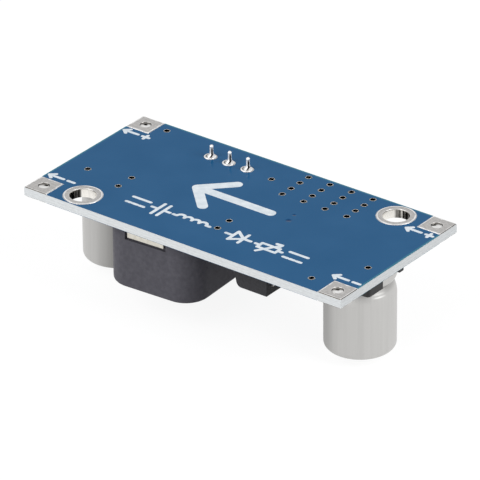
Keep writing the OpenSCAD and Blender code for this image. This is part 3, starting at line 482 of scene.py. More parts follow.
# %% Streaked tin in the large holes
# Tin levelled by hot air again. Down in the barrel it is drawn out upright, which gives long soft streaks.
tree, shader, skin = levelled_tin("levelled_tin_in_large_holes", swell=0.022)
in_barrel = height_share(tree, top - 0.05, top - 0.16)
# Painted highlight: the tin down in the barrel is painted nearly white.
skin = tint(tree, shader, in_barrel, "#f7f4ee", under=skin)
# Painted reflection: dark patches in the barrel, at the angles listed below.
painted_dark_reflection = add(tree, "ShaderNodeAttribute", {"attribute_name": "painted_dark_reflection"})
dark = add(tree, "ShaderNodeMath", {"operation": "MULTIPLY"}, i0=painted_dark_reflection.outputs["Fac"], i1=in_barrel)
tint(tree, shader, dark, "#1b1916", under=skin)
bump(tree, shader, size=0.3, height=0.02, stretch=(1, 1, 0.1))
# How dark the painted reflection in each barrel is, at angles in degrees around it.
BARREL_REFLECTION_DARKNESS = (
    ((0, 0.1), (50, 0.05), (62, 0.25), (70, 0.05), (82, 0.15), (88, 0.0), (102, 0.12), (110, 0.0),
     (134, 0.02), (139, 0.9), (150, 1.0), (155, 0.7), (160, 1.0), (166, 0.65), (171, 1.0), (192, 1.0),
     (200, 0.8), (215, 0.4), (235, 0.1), (360, 0.1)),
    ((0, 0.4), (25, 0.8), (58, 0.95), (63, 0.5), (68, 1.0), (82, 1.0), (87, 0.5), (92, 1.0), (97, 1.0),
     (100, 0.1), (105, 0.05), (109, 1.0), (114, 0.7), (119, 0.5), (123, 0.8), (129, 0.5), (134, 0.1),
     (160, 0.08), (230, 0.0), (300, 0.1), (360, 0.4)))
print("tarnish is given at", [len(side) for side in BARREL_REFLECTION_DARKNESS], "angles")

# %% The rings of the mounting holes
RING_HOLE = 3.0
RING_OUTSIDE = 4.4
RING_LINING = 0.18
ring_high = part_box("mounting_rings")[1]
ring_x = ring_high.x - RING_OUTSIDE / 2 * MM
ring_y = ring_high.y - RING_OUTSIDE / 2 * MM


def barrel_reflection_at(point):
    """How dark the painted reflection is on a barrel at a point's angle."""
    side = 0 if point.x < 0 else 1
    sign = -1 if side == 0 else 1
    angle = math.degrees(math.atan2(point.y - sign * ring_y, point.x - sign * ring_x)) % 360
    for (a, low), (b, high) in zip(BARREL_REFLECTION_DARKNESS[side], BARREL_REFLECTION_DARKNESS[side][1:]):
        if angle <= b:
            return low + (high - low) * (angle - a) / (b - a)


work = bmesh.new()
for k, sign in enumerate((-1, 1)):
    section = plated_section(RING_LINING, rim=0.1, swell=0.025)
    loft(
        work, (sign * ring_x, sign * ring_y), RING_HOLE / 2, lambda angle: RING_OUTSIDE / 2,
        section, turns=144, wave=0.015, seed=7 + k)
rings = shade(from_work("tinned_mounting_rings", work), 40)
paint_points(rings, "painted_dark_reflection", barrel_reflection_at)
dress(rings, "levelled_tin_in_large_holes", ["mounting_rings"])
print("mounting holes at", round(ring_x / MM, 2), round(ring_y / MM, 2), "mm from the middle")

# %% [markdown]
# ## Solder in the corner holes
# Solder ran into the corner holes, sank and froze as a shallow dish. It has a groove along the hole's wall,
# a nearly level middle and a pit, and no two are quite alike. A lathe turns the section, and a low noise
# with a different seed for each hole pushes the surface about. Painted shade darkens the pit, the far half
# of the groove and, more lightly, the far half of the dish, and shares that are kept on the mesh say where.

# %% Turn shapes on a lathe
def lathe(work, centre, section, turns=96, lean=None):
    """Adds a shape turned about a vertical axis, from (radius, height) points in mm."""
    rings = []
    for radius, height in section:
        dx, dy = lean(height) if lean else (0, 0)
        x0, y0 = centre[0] + dx * MM, centre[1] + dy * MM
        ring = []
        for k in range(turns if radius else 1):
            angle = 2 * math.pi * k / turns
            ring.append(work.verts.new((
                x0 + radius * MM * math.cos(angle), y0 + radius * MM * math.sin(angle), height * MM)))
        rings.append(ring)
    join_loops(work, rings)


crater = [
    (0.575, -0.2), (0.615, -0.06), (0.648, -0.02), (0.635, -0.035), (0.615, -0.055), (0.59, -0.075),
    (0.56, -0.085), (0.52, -0.085), (0.48, -0.075), (0.44, -0.06), (0.39, -0.045), (0.34, -0.035),
    (0.29, -0.03), (0.24, -0.025), (0.2, -0.025)]
crater += [(r, -0.02) for r in (0.16, 0.12, 0.08, 0.04, 0)]
print("the dish is", 2 * max(r for r, h in crater), "mm wide at its shore")

# %% Where the shade is painted
SHORE = 0.63
GROOVE = 0.62
SHORE_SIDE = math.radians(38)
PIT = 0.19
PIT_PLACES = ((0.3, 62), (0.14, 128), (0.24, 128), (0.36, 180))


def in_a_hole(point):
    """A point's own hole, its distance and angle from the middle, and its distance from the pit, in mm."""
    k = min(range(4), key=lambda i: (point.xy - Vector(pad_centres[i])).length)
    x, y = (point.xy - Vector(pad_centres[k])) / MM
    out, side = PIT_PLACES[k]
    from_pit = math.hypot(x - out * math.cos(math.radians(side)), y - out * math.sin(math.radians(side)))
    return k, math.hypot(x, y), math.atan2(y, x), from_pit


def shade_in_hole(point):
    """Painted shade: dark in the pit and round the far half of the groove, darkest on its two sides."""
    k, away, angle, from_pit = in_a_hole(point)
    sideways = clamp((abs(math.cos(angle - SHORE_SIDE)) - 0.6) / 0.25)
    far = clamp((math.sin(angle - SHORE_SIDE) + 0.45) / 0.3)
    arc = max(1.4 - abs(away - GROOVE) / 0.045, 0.0) * max(sideways, 0.45) * far
    return max(arc, 3.0 * math.exp(-(from_pit / PIT) ** 2) - 0.3)


def far_shade_in_hole(point):
    """Painted shade on the far half of the solder."""
    k, away, angle, from_pit = in_a_hole(point)
    return 0.3 + 1.2 * math.sin(angle - SHORE_SIDE) * min(away / 0.4, 1.0)


print("pits in mm from the middle:", [out for out, side in PIT_PLACES])

# %% Solder with flux in its hollows
# Tin solder that froze by itself: bright on its swells. Painted shade greys its far half and turns the pit
# and the groove's far side brown-black.
tree, shader, skin = finish(
    "solder_with_painted_shade", "#ecebe9", "#fcfcfb", size=0.3, grain=0.3, height=0.02,
    Metallic=1.0, Roughness=0.34)
skin = tint(tree, shader, "painted_far_shade", "#8b8884", under=skin)
tint(tree, shader, "painted_shade_and_reflection", "#161412", under=skin)
SWELL_HIGH = 0.08
SWELLS_PER_MM = 2.8
PIT_DEPTH = 0.2
work = bmesh.new()
for centre in pad_centres:
    lathe(work, centre, [(0, bottom), (PAD_HOLE / 2, bottom)] + [(r, top + h) for r, h in crater])
for v in work.verts:
    k, away, angle, from_pit = in_a_hole(v.co)
    if v.co.z < board_high.z - 0.3 * MM or away > SHORE:
        continue
    push = noise.noise(Vector((v.co.x / MM * SWELLS_PER_MM, v.co.y / MM * SWELLS_PER_MM, 3.1 * k + 1)))
    rise = SWELL_HIGH * push * (SHORE - away) / SHORE
    v.co.z += (rise - PIT_DEPTH * math.exp(-(from_pit / PIT) ** 2)) * MM
plugs = shade(from_work("corner_hole_solder", work), 60)
paint_points(plugs, "painted_shade_and_reflection", shade_in_hole)
paint_points(plugs, "painted_far_shade", far_shade_in_hole)
dress(plugs, "solder_with_painted_shade", ["corner_pad_solder"])

# %% [markdown]
# ## The trimmer's pins
# Three round pins come up through the board. Solder wets each one: it covers the round pad as a flat
# saucer with a raised rim and climbs the pin in a collar. It also froze as a bead on the pin's cropped end.
# The solder flowed a little to one side of the pins. A painted dark reflection runs down one side of each
# pin:
# a value that is kept on the mesh for every point says where it is.

# %% Pins with a bead at the end
pin_low, pin_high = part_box("trimmer_pins")
PIN_R = 0.25
NECK_R = 0.22
SHAFT_R = 0.2
BEAD_R = 0.215
BEAD_HIGH = 0.2
PIN_OFFSET = (0.07, 0.055)
pin_y = (pin_low.y + pin_high.y) / 2
pin_xs = [pin_low.x + PIN_R * MM, (pin_low.x + pin_high.x) / 2, pin_high.x - PIN_R * MM]
tip, foot, film = pin_high.z / MM, pin_low.z / MM, mask_top / MM


def pin_place(height):
    """The centre of a pin at a height, beside the middle of its hole."""
    share = clamp((height - board_low.z / MM) / 1.2)
    return PIN_OFFSET[0] * share, PIN_OFFSET[1] * share


shaft = [(0, foot), (PIN_R, foot), (PIN_R, board_low.z / MM), (NECK_R, film)]
shaft += [(SHAFT_R, film + 0.3), (SHAFT_R, tip - 0.62), (SHAFT_R + 0.005, tip - 0.5)]
shaft += [
    (BEAD_R * math.cos(a), tip - BEAD_HIGH + BEAD_HIGH * math.sin(a))
    for a in (-0.5, -0.25, 0, 0.35, 0.7, 1.0, 1.3)]
shaft += [(0, tip)]
work = bmesh.new()
for x in pin_xs:
    lathe(work, (x, pin_y), shaft, turns=48, lean=pin_place)
pins = shade(from_work("beaded_trimmer_pins", work), 50)
print("pins stand", round(tip - film, 2), "mm above the mask")

# %% The painted dark reflection on the pins
# Copper wire dipped in tin: pale, smooth and glossy. A lower metallic value stands for its thin oxide.
DARK_REFLECTION_SIDE = math.radians(-36)


def turned_from(point, place, side):
    """A point's distance from a pin's own axis in mm, and its angle from a side in radians."""
    x = min(pin_xs, key=lambda pin_x: abs(pin_x - point.x))
    dx, dy = place(point.z / MM)
    px, py = (point.x - x) / MM - dx, (point.y - pin_y) / MM - dy
    return math.hypot(px, py), abs(math.remainder(math.atan2(py, px) - side, 2 * math.pi))


def reflection_on_pin(point):
    """A painted dark reflection that starts under the bead and is a third of the pin's width."""
    away, off = turned_from(point, pin_place, DARK_REFLECTION_SIDE)
    return clamp((tip - 0.24 - point.z / MM) / 0.1) * clamp((0.62 - off) / 0.2)


paint_points(pins, "painted_shade_and_reflection", reflection_on_pin)
tree, shader, skin = finish(
    "dipped_tin_with_a_painted_dark_reflection", "#ececea", "#fafaf9", size=0.4, grain=0.5, height=0.01,
    Metallic=0.25, Roughness=0.3)
# Painted reflection: a dark streak down one side of each pin.
tint(tree, shader, "painted_shade_and_reflection", "#0d0c0e", under=skin)
dress(pins, "dipped_tin_with_a_painted_dark_reflection", ["trimmer_pins"])

# %% The solder saucers
SAUCER_OFFSET = (-0.06, -0.05)
BARREL_R = PIN_R + 0.15
CORE_R = 0.16
saucer = [
    (0.69, 0.0), (0.69, 0.025), (0.68, 0.05), (0.655, 0.07), (0.62, 0.08), (0.58, 0.082), (0.54, 0.075),
    (0.5, 0.062), (0.46, 0.052), (0.42, 0.055), (0.38, 0.075), (0.345, 0.115), (0.315, 0.17), (0.29, 0.23),
    (0.265, 0.31), (0.24, 0.41), (0.215, 0.52), (CORE_R, 0.54)]


def saucer_place(height):
    """The centre of the solder at a height: the saucer lies to one side, the collar is on the pin."""
    share = clamp((height - top - 0.1) / 0.2)
    px, py = pin_place(height)
    return SAUCER_OFFSET[0] * (1 - share) + px * share, SAUCER_OFFSET[1] * (1 - share) + py * share


work = bmesh.new()
for x in pin_xs:
    section = [(CORE_R, bottom), (BARREL_R, bottom), (BARREL_R, top)]
    section += [(r, top + h) for r, h in saucer] + [(CORE_R, bottom)]
    lathe(work, (x, pin_y), section, turns=64, lean=saucer_place)
bmesh.ops.remove_doubles(work, verts=work.verts, dist=1e-8)
saucers = shade(from_work("pin_solder_saucers", work), 50)
print("saucers are", 2 * saucer[0][0], "mm wide")

# %% Painted shade in the saucers' hollows
# The same solder where it wetted the pad well, so it is smoother and brighter than in the corner holes.
HOLLOW_SIDE = math.radians(190)
HOLLOW_R = 0.43


def shade_and_reflection_on_saucer(point):
    """Painted shade as a crescent in the hollow on one side of the collar, and the pin's painted dark
    reflection down the collar.
    """
    if point.z < pad_face + 0.01 * MM:
        return 0.0
    away, off = turned_from(point, saucer_place, HOLLOW_SIDE)
    crescent = max(1.1 - abs(away - HOLLOW_R) / 0.13, 0.0) * clamp((1.6 - off) / 0.8)
    away, off = turned_from(point, saucer_place, DARK_REFLECTION_SIDE)
    streak = clamp((0.44 - away) / 0.08) * clamp((0.6 - off) / 0.2)
    return max(crescent, streak)


paint_points(saucers, "painted_shade_and_reflection", shade_and_reflection_on_saucer)
tree, shader, skin = finish(
    "wetted_solder_with_painted_shade", "#e6e5e3", "#f9f8f7", size=0.4, grain=0.5, height=0.02,
    Metallic=0.5, Roughness=0.22)
# Painted shade in the hollow, and the pin's painted dark reflection down the collar.
tint(tree, shader, "painted_shade_and_reflection", "#1d1a1c", under=skin)
dress(saucers, "wetted_solder_with_painted_shade", ["trimmer_pin_solder"])
finish_nodes("hot_air_levelled_tin", "trimmer_pads")

# %% [markdown]
# ## The vias
# Twenty-five small plated holes join the two sides, and they are nearly all alike. That is work for Geometry
# Nodes: the tree sweeps a small rounded rectangle around a circle for each ring, and a thin one for the
# barrel, and sets the result on every point of a mesh that holds only the places. The places are read
# from the CAD node, whose barrels are separate islands of faces.

# %% Find the vias in the CAD node
def islands(node):
    """The middle of each of a node's separate solids, with how far its lower end reaches sideways."""
    work = bmesh.new()
    work.from_mesh(nodes[node].data)
    bmesh.ops.remove_doubles(work, verts=work.verts, dist=1e-7)
    found, seen = [], set()
    for start in work.verts:
        if start in seen:
            continue
        group, stack = [], [start]
        seen.add(start)
        while stack:
            v = stack.pop()
            group.append(v.co.copy())
            fresh = {e.other_vert(v) for e in v.link_edges} - seen
            seen |= fresh
            stack += fresh
        low = Vector([min(c[i] for c in group) for i in range(3)])
        middle = (low + Vector([max(c[i] for c in group) for i in range(3)])) / 2
        found.append((middle, max((c.xy - middle.xy).length for c in group if c.z < low.z + 0.01 * MM)))
    work.free()
    return found


VIA_RING = 0.7
RING_SHARE = 0.48
via_places = islands("via_barrels")
open_vias = [c for c, reach in via_places if reach > RING_SHARE * VIA_RING * MM]
tab_vias = [c for c, reach in via_places if reach <= RING_SHARE * VIA_RING * MM]
print(len(open_vias), "vias with two rings and", len(tab_vias), "under the tab")

# %% A tree that sets vias on points
def via_tree(sizes, material):
    """Rings and a barrel on every point: named sizes in, realized mesh out."""
    tree = bpy.data.node_groups.new("Vias on points", "GeometryNodeTree")
    tree.interface.new_socket("Geometry", in_out="INPUT", socket_type="NodeSocketGeometry")
    tree.interface.new_socket("Geometry", in_out="OUTPUT", socket_type="NodeSocketGeometry")
    ids = {}
    for name, value in sizes.items():
        kind = "NodeSocketBool" if isinstance(value, bool) else "NodeSocketFloat"
        socket = tree.interface.new_socket(name, in_out="INPUT", socket_type=kind)
        socket.default_value = value
        ids[name] = socket.identifier
    entry = add(tree, "NodeGroupInput")
    size = entry.outputs

    def swept(width, height, radius, lift):
        """A rounded rectangle swept around a circle and moved up."""
        path = add(tree, "GeometryNodeCurvePrimitiveCircle", Resolution=40, Radius=radius)
        shape = add(tree, "GeometryNodeCurvePrimitiveQuadrilateral", Width=width, Height=height)
        soft = add(
            tree, "GeometryNodeFilletCurve", {"mode": "POLY"},
            Curve=shape, Count=3, Radius=size["Corner radius"])
        solid = add(tree, "GeometryNodeCurveToMesh", Curve=path, Profile_Curve=soft)
        place = add(tree, "ShaderNodeCombineXYZ", Z=lift)
        return add(tree, "GeometryNodeTransform", Geometry=solid, Translation=place)

    copper, ring = size["Copper thickness"], size["Ring radius"]
    upper = swept(size["Ring width"], copper, ring, size["Upper level"])
    lower = swept(size["Ring width"], copper, ring, size["Lower level"])
    barrel = swept(copper, size["Barrel height"], size["Barrel radius"], 0.0)
    either = add(
        tree, "GeometryNodeSwitch", {"input_type": "GEOMETRY"}, Switch=size["Has a lower ring"], i2=lower)
    whole = add(tree, "GeometryNodeJoinGeometry")
    for part in (upper, either, barrel):
        tree.links.new(part.outputs[0], whole.inputs[0])
    smooth = add(tree, "GeometryNodeSetShadeSmooth", Geometry=whole)
    spread = add(tree, "GeometryNodeInstanceOnPoints", Points=size["Geometry"], Instance=smooth)
    real = add(tree, "GeometryNodeRealizeInstances", Geometry=spread)
    painted = add(tree, "GeometryNodeSetMaterial", Geometry=real, Material=material)
    add(tree, "NodeGroupOutput", Geometry=painted)
    return tree, ids


print("the tree is made once and used for both kinds of vias")

# %% Keep what a modifier makes
def bake_modifiers(piece):
    """Keeps the shape that the modifiers give and removes them."""
    evaluated = piece.evaluated_get(bpy.context.evaluated_depsgraph_get())
    mesh = bpy.data.meshes.new_from_object(evaluated)
    piece.modifiers.clear()
    piece.data = mesh
    mesh.name = piece.name


print("modifiers are removed before a piece is dressed")

# %% Vias with and without a lower ring
# Thin tin in a hole that the solder never filled: a bright ring, painted near black inside the hole as
# painted shade.
tree, shader, skin = finish(
    "tin_in_vias_with_painted_shade", "#cdc9c1", "#e6e3dd", size=0.25, grain=0.2, height=0.008,
    Metallic=1.0, Roughness=0.45)
tint(tree, shader, height_share(tree, top - 0.002, top - 0.02), "#0b0a09", under=skin)
VIA_HOLE_R = 0.315
VIA_COPPER = 0.05
rise = top - bottom
via_sizes = {
    "Ring radius": (VIA_RING / 2 + VIA_HOLE_R) / 2 * MM,
    "Ring width": (VIA_RING / 2 - VIA_HOLE_R) * MM,
    "Copper thickness": VIA_COPPER * MM,
    "Corner radius": 0.2 * VIA_COPPER * MM,
    "Barrel radius": (VIA_HOLE_R + VIA_COPPER / 2) * MM,
    "Barrel height": (rise - 0.4 * VIA_COPPER) * MM,
    "Upper level": (rise - VIA_COPPER) / 2 * MM,
    "Lower level": -(rise - VIA_COPPER) / 2 * MM,
    "Has a lower ring": True}
tree, ids = via_tree(via_sizes, materials["tin_in_vias_with_painted_shade"])
for name, places, has_lower in (("track_vias", open_vias, True), ("tab_vias", tab_vias, False)):
    mesh = bpy.data.meshes.new(name)
    mesh.from_pydata([tuple(p) for p in places], [], [])
    piece = new_object(name, mesh)
    grow = piece.modifiers.new("Vias", "NODES")
    grow.node_group = tree
    for key, value in via_sizes.items():
        grow[ids[key]] = value
    grow[ids["Has a lower ring"]] = has_lower
    bake_modifiers(piece)
    dress(piece, "tin_in_vias_with_painted_shade", ["via_barrels"])

# %% [markdown]
# ## Rounded copies of the solids
# Nothing that is moulded, stamped or pressed has a knife edge, and a thin highlight along each edge is
# what makes a part look solid. A CAD node's mesh is loose triangles, so a copy of it is merged first,
# flat areas are joined into single faces, and a bevel of the real radius rounds the rest.

# %% Round the edges of a copy
FLAT = 1.0
SHARP = 28


def rounded(node, name, radius, material, body="module"):
    """Puts a copy of a CAD node, with its edges rounded to a radius in mm, in the node's place."""
    work = bmesh.new()
    work.from_mesh(nodes[node].data)
    bmesh.ops.remove_doubles(work, verts=work.verts, dist=2e-7)
    bmesh.ops.dissolve_limit(
        work, angle_limit=math.radians(FLAT), use_dissolve_boundaries=False,
        verts=work.verts, edges=work.edges)
    work.verts.index_update()
    mesh = bpy.data.meshes.new(name)
    mesh.from_pydata(
        [v.co.copy() for v in work.verts], [], [[v.index for v in f.verts] for f in work.faces])
    work.free()
    piece = new_object(name, mesh)
    bevel = piece.modifiers.new("Rounded edges", "BEVEL")
    bevel.width = radius * MM
    bevel.segments = 3
    bevel.limit_method = "ANGLE"
    bevel.angle_limit = math.radians(SHARP)
    bevel.use_clamp_overlap = True
    bake_modifiers(piece)
    shade(piece, SHARP)
    weigh = piece.modifiers.new("Even shading", "WEIGHTED_NORMAL")
    weigh.keep_sharp = True
    bake_modifiers(piece)
    dress(piece, material, [node], body)


print("edges sharper than", SHARP, "degrees will be rounded to real radii, such as 0.05 mm on a stamped clip")

# %% [markdown]
# ## The aluminium cans
# Each can is drawn from aluminium sheet, so its wall carries faint upright lines, then a bead is rolled
# into it near the base, and its skirt is curled over the rubber seal. The closed end, which points
# down here, is scored with three arms, the vent that opens if the can gets too hot. The wall is turned on
# the lathe from the CAD's own sizes, and the scores are pressed into the end's fine mesh. The satin wall
# mirrors the dark choke beside it. In this white studio that reflection is lost, so it is painted as a soft
# grey on the side that faces the choke. Two short painted highlights lie on one side of the bead, and
# painted shade darkens its groove.

# %% Drawn aluminium
# Aluminium, drawn through a die: satin, with upright lines. They are 0.3 mm apart here, coarser than real
# ones so that they show.
DRAWN_LINES = 0.3
tree, shader = new_material("drawn_aluminium", Metallic=1.0, Roughness=0.34)
skin = mottle(tree, shader, "#c4c3c1", "#c9c8c6", DRAWN_LINES, stretch=(1, 1, 0.03))
# Painted highlights on the bead, painted shade in its groove, and the painted reflection of the choke.
for share, colour in (("painted_bead_highlights", "#f4f3f1"), ("painted_groove_shade", "#aaa9a7"), ("painted_choke_reflection", "#767573")):
    skin = tint(tree, shader, share, colour, under=skin)
bump(tree, shader, size=0.25, height=0.003, detail=3.0, stretch=(1, 1, 0.02), strength=0.08)
print("drawing lines are", DRAWN_LINES, "mm apart")

# %% The can's wall and its vent
SKIRT = 0.3
BEAD, BEAD_DEPTH = 2.0, 0.46
BEAD_RISE, BEAD_FALL = 1.7, 0.8
END_EDGE = 0.65
ARM = 2.3
SCORE, SCORE_DEPTH = 0.16, 0.09


def bead_section(can_r, floor, tall):
    """The can's wall from its curled skirt to its closed end, as (radius, distance from the board), in mm."""
    quarter = [math.pi / 2 * k / 24 for k in range(25)]
    face = can_r - END_EDGE
    section = [(0, floor), (can_r - SKIRT, floor)]
    section += [
        (can_r - SKIRT + SKIRT * math.sin(a), floor + SKIRT - SKIRT * math.cos(a))
        for a in (0.3, 0.6, 0.9, 1.2, math.pi / 2)]
    section += [
        (can_r - BEAD_DEPTH * (1 - math.cos(a)), BEAD - BEAD_FALL * (1 - a / quarter[-1])) for a in quarter]
    section += [
        (can_r - BEAD_DEPTH * (1 - math.sin(a)), BEAD + BEAD_RISE * a / quarter[-1]) for a in quarter[1:]]
    section += [(can_r, h) for h in (5.5, 7, 8.5)]
    section += [
        (face + END_EDGE * math.cos(a), tall - END_EDGE + END_EDGE * math.sin(a))
        for a in [math.pi / 2 * k / 10 for k in range(11)]]
    return section + [(face * (1 - k / 40), tall) for k in range(1, 41)]


def score_vent(work, centre, face, arms):
    """Presses straight scores into the closed end: each arm is an angle, and they meet in the middle."""
    for v in work.verts:
        if abs(v.co.z - face) > 1e-6:
            continue
        x, y = (v.co.x - centre[0]) / MM, (v.co.y - centre[1]) / MM
        for angle in arms:
            along = x * math.cos(angle) + y * math.sin(angle)
            off = abs(-x * math.sin(angle) + y * math.cos(angle))
            if 0 <= along < ARM and off < SCORE:
                v.co.z = face + SCORE_DEPTH * MM * (1 - (off / SCORE) ** 2)


print("the bead is", BEAD_DEPTH, "mm deep and the scores", SCORE_DEPTH, "mm")

# %% What shows on the wall
BEAD_HIGHLIGHT_SIDE = math.radians(-21)
BEAD_HIGHLIGHT_HEIGHTS = (2.42, 2.76)


def axis_of(node):
    """A CAD node's upright axis, as x and y."""
    low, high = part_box(node)
    return (low.x + high.x) / 2, (low.y + high.y) / 2


choke_centre = axis_of("choke_shield")


def painted_choke_reflection(centre, radius):
    """How much of the painted reflection of the choke a point on the can's wall gets, from the way that the
    wall faces there.
    """
    def rule(point):
        out = point.xy - Vector(centre)
        if out.length < 0.88 * radius * MM:
            return 0.0
        facing = out.normalized().dot((Vector(choke_centre) - Vector(centre)).normalized())
        return 0.28 * clamp((facing + 1.4) / 1.8) + 0.6 * clamp((facing - 0.2) / 0.6) ** 1.3
    return rule


def painted_bead_highlights(centre):
    """Two short painted highlights on one side of the bead."""
    def rule(point):
        height = (land_face - point.z) / MM
        line = max(1.2 - abs(height - middle) / 0.1 for middle in BEAD_HIGHLIGHT_HEIGHTS)
        side = math.atan2(point.y - centre[1], point.x - centre[0]) - BEAD_HIGHLIGHT_SIDE
        return max(line, 0.0) * max(1.5 - abs(math.remainder(side, 2 * math.pi)) / 0.16, 0.0)
    return rule


def painted_groove_shade(point):
    """How much painted shade darkens the wall at a point, in the groove of the bead."""
    return 1 - abs((land_face - point.z) / MM - 2.1) / 0.6


for node, name, turned in (("input_can", "drawn_input_can", 20), ("output_can", "drawn_output_can", 40)):
    low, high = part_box(node)
    centre = axis_of(node)
    radius = (high.x - low.x) / 2 / MM
    section = bead_section(radius, (land_face - high.z) / MM, (land_face - low.z) / MM)
    work = bmesh.new()
    lathe(work, centre, [(r, (land_face - h * MM) / MM) for r, h in section], turns=160)
    score_vent(work, centre, low.z, [math.radians(a + turned) for a in (0, 120, 240)])
    can = shade(from_work(name, work), 75)
    paint_points(can, "painted_choke_reflection", painted_choke_reflection(centre, radius))
    paint_points(can, "painted_bead_highlights", painted_bead_highlights(centre))
    paint_points(can, "painted_groove_shade", painted_groove_shade)
    dress(can, "drawn_aluminium", [node])

# %% [markdown]
# ## The cans' bases
# The base is black heat-resistant plastic, moulded, with a fine matt grain. Its terminals are tinned
# strip. On the closed end a black printed segment marks the negative side.

# %% Black base plastic and its ink
# PPS, moulded in a sparked steel mould: black, with a fine grain that spreads the highlights.
finish(
    "moulded_pps_plastic", "#111113", "#1a1a1d", size=0.6, grain=0.09, height=0.006,
    Roughness=0.5, Specular_IOR_Level=0.45)
for node, name in (("input_can_base", "input_moulded_base"), ("output_can_base", "output_moulded_base")):
    rounded(node, name, 0.06, "moulded_pps_plastic")
# Marking ink, pad-printed and baked: near black and matt, too thin to have a grain of its own.
finish("printed_marking_ink", "#1f1f22", "#2d2d30", size=0.5, Roughness=0.5, Specular_IOR_Level=0.4)
finish_nodes("printed_marking_ink", "can_ink_marks")
finish_nodes("hot_air_levelled_tin", "input_can_terminals", "output_can_terminals", "component_lands")

# %% [markdown]
# ## The choke
# The shield is pressed and sintered ferrite, a dark ceramic with a satin skin and a fine grain, and
# edges that the tumbling barrel has rounded. It is lofted from rounded squares to a round bore, and
# the two notches for the clips are cut with a Boolean.

# %% Sintered ferrite
# Ferrite, pressed from powder and fired: dark grey with a dull sheen. Its grain is drawn coarser than the
# real one, which is too fine to show.
finish(
    "sintered_ferrite", "#504f56", "#5a5960", size=0.5, grain=0.12, height=0.003,
    detail=5.0, grain_detail=3.0, Roughness=0.5, Specular_IOR_Level=0.1)

# %% Loft the shield
CHOKE_SIDE = 12.0
CHOKE_CORNER = 2.9
CHOKE_EDGE = 0.4
CHOKE_BORE = 10.0
CHOKE_SKEW = math.radians(3)
shield_low, shield_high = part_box("choke_shield")


def skewed(x, y):
    """A point in mm on the choke, turned and moved with the choke."""
    c, s = math.cos(CHOKE_SKEW), math.sin(CHOKE_SKEW)
    return choke_centre[0] + (x * c - y * s) * MM, choke_centre[1] + (x * s + y * c) * MM


def shield_loop(work, height, inset, count=160):
    """One rounded square around the shield, or a circle of the bore if inset is None."""
    reach = square_outline(CHOKE_SIDE / 2 - (inset or 0), CHOKE_CORNER - (inset or 0))
    loop = []
    for k in range(count):
        angle = 2 * math.pi * (k + 0.5) / count
        far = CHOKE_BORE / 2 if inset is None else reach(angle)
        loop.append(work.verts.new((*skewed(far * math.cos(angle), far * math.sin(angle)), height)))
    return loop


levels = [(shield_high.z, 0.12), (shield_high.z - 0.04 * MM, 0.03), (shield_high.z - 0.12 * MM, 0)]
for k in range(7):
    curl = math.pi / 2 * (k / 6)
    drop = CHOKE_EDGE * (1 - math.sin(curl))
    levels.append((shield_low.z + drop * MM, CHOKE_EDGE * (1 - math.cos(curl))))
levels += [(shield_low.z, None), (shield_high.z, None)]
work = bmesh.new()
loops = [shield_loop(work, height, inset) for height, inset in levels]
join_loops(work, loops + loops[:1])
shield = from_work("sintered_shield", work)
print("the shield has", len(shield.data.vertices), "points before its notches are cut")

# %% Cut the notches
CLIP_WIDTH = 4.8
CLIP_HIGH = 1.46
CLIP_GAP = 0.3
CLIP_SHIFT = -0.25
NOTCH_DEEP = 0.35
CUTTER = 2.0
notch_end = land_face - (CLIP_HIGH + CLIP_GAP) * MM
for sign in (-1, 1):
    work = bmesh.new()
    bmesh.ops.create_cube(work, size=1)
    for v in work.verts:
        x = CLIP_SHIFT + v.co.x * (CLIP_WIDTH + 2 * CLIP_GAP)
        y = sign * (CHOKE_SIDE / 2 - NOTCH_DEEP + CUTTER / 2) + v.co.y * CUTTER
        v.co = (*skewed(x, y), notch_end if v.co.z < 0 else land_face + 1 * MM)
    cutter = from_work("notch_cutter", work)
    cut = shield.modifiers.new("Notch", "BOOLEAN")
    cut.operation = "DIFFERENCE"
    cut.object = cutter
    bake_modifiers(shield)
    bpy.data.objects.remove(cutter)
work = bmesh.new()
work.from_mesh(shield.data)
bmesh.ops.triangulate(work, faces=[f for f in work.faces if len(f.verts) > 4], ngon_method="BEAUTY")
bmesh.ops.dissolve_degenerate(work, dist=1e-7, edges=work.edges)
work.to_mesh(shield.data)
work.free()
shade(shield, 32)
dress(shield, "sintered_ferrite", ["choke_shield"])
finish_nodes("sintered_ferrite", "choke_core")

# %% [markdown]
# ## The choke's clips, winding and glue
# Each clip is tinned steel strip, folded up the shield's side. Inside, enamelled copper wire is wound on
# the drum, and a ring of cured resin holds the drum's outer flange in the bore.

# %% Clip metal, enamelled wire and resin
# Tinned steel, rolled and stamped: a warm pale grey, satin.
finish(
    "tinned_steel_strip", "#c7c3b8", "#d6d3ca", size=0.4, grain=0.3, height=0.01,
    Metallic=1.0, Roughness=0.4)
rounded("choke_clips", "folded_end_clips", 0.05, "tinned_steel_strip")
# Copper wire, drawn and dipped in clear enamel: a deep copper colour under a glossy coat.
finish(
    "enamelled_copper", "#9c5426", "#b86a35", size=0.4, grain=0.3, height=0.006,
    Metallic=1.0, Roughness=0.26, Coat_Weight=0.6)
finish_nodes("enamelled_copper", "choke_winding")
# Epoxy resin, poured and cured: smooth, with soft swells where it crept up the ferrite.
finish("cured_epoxy_resin", "#7d776c", "#98928a", size=0.6, grain=0.5, height=0.05, Roughness=0.3)
finish_nodes("cured_epoxy_resin", "choke_glue")

# %% [markdown]
# ## Diode and regulator
# Both are transfer-moulded in black epoxy, filled with silica, which leaves a fine matt grain. Their
# leads and the regulator's tab are tinned copper.

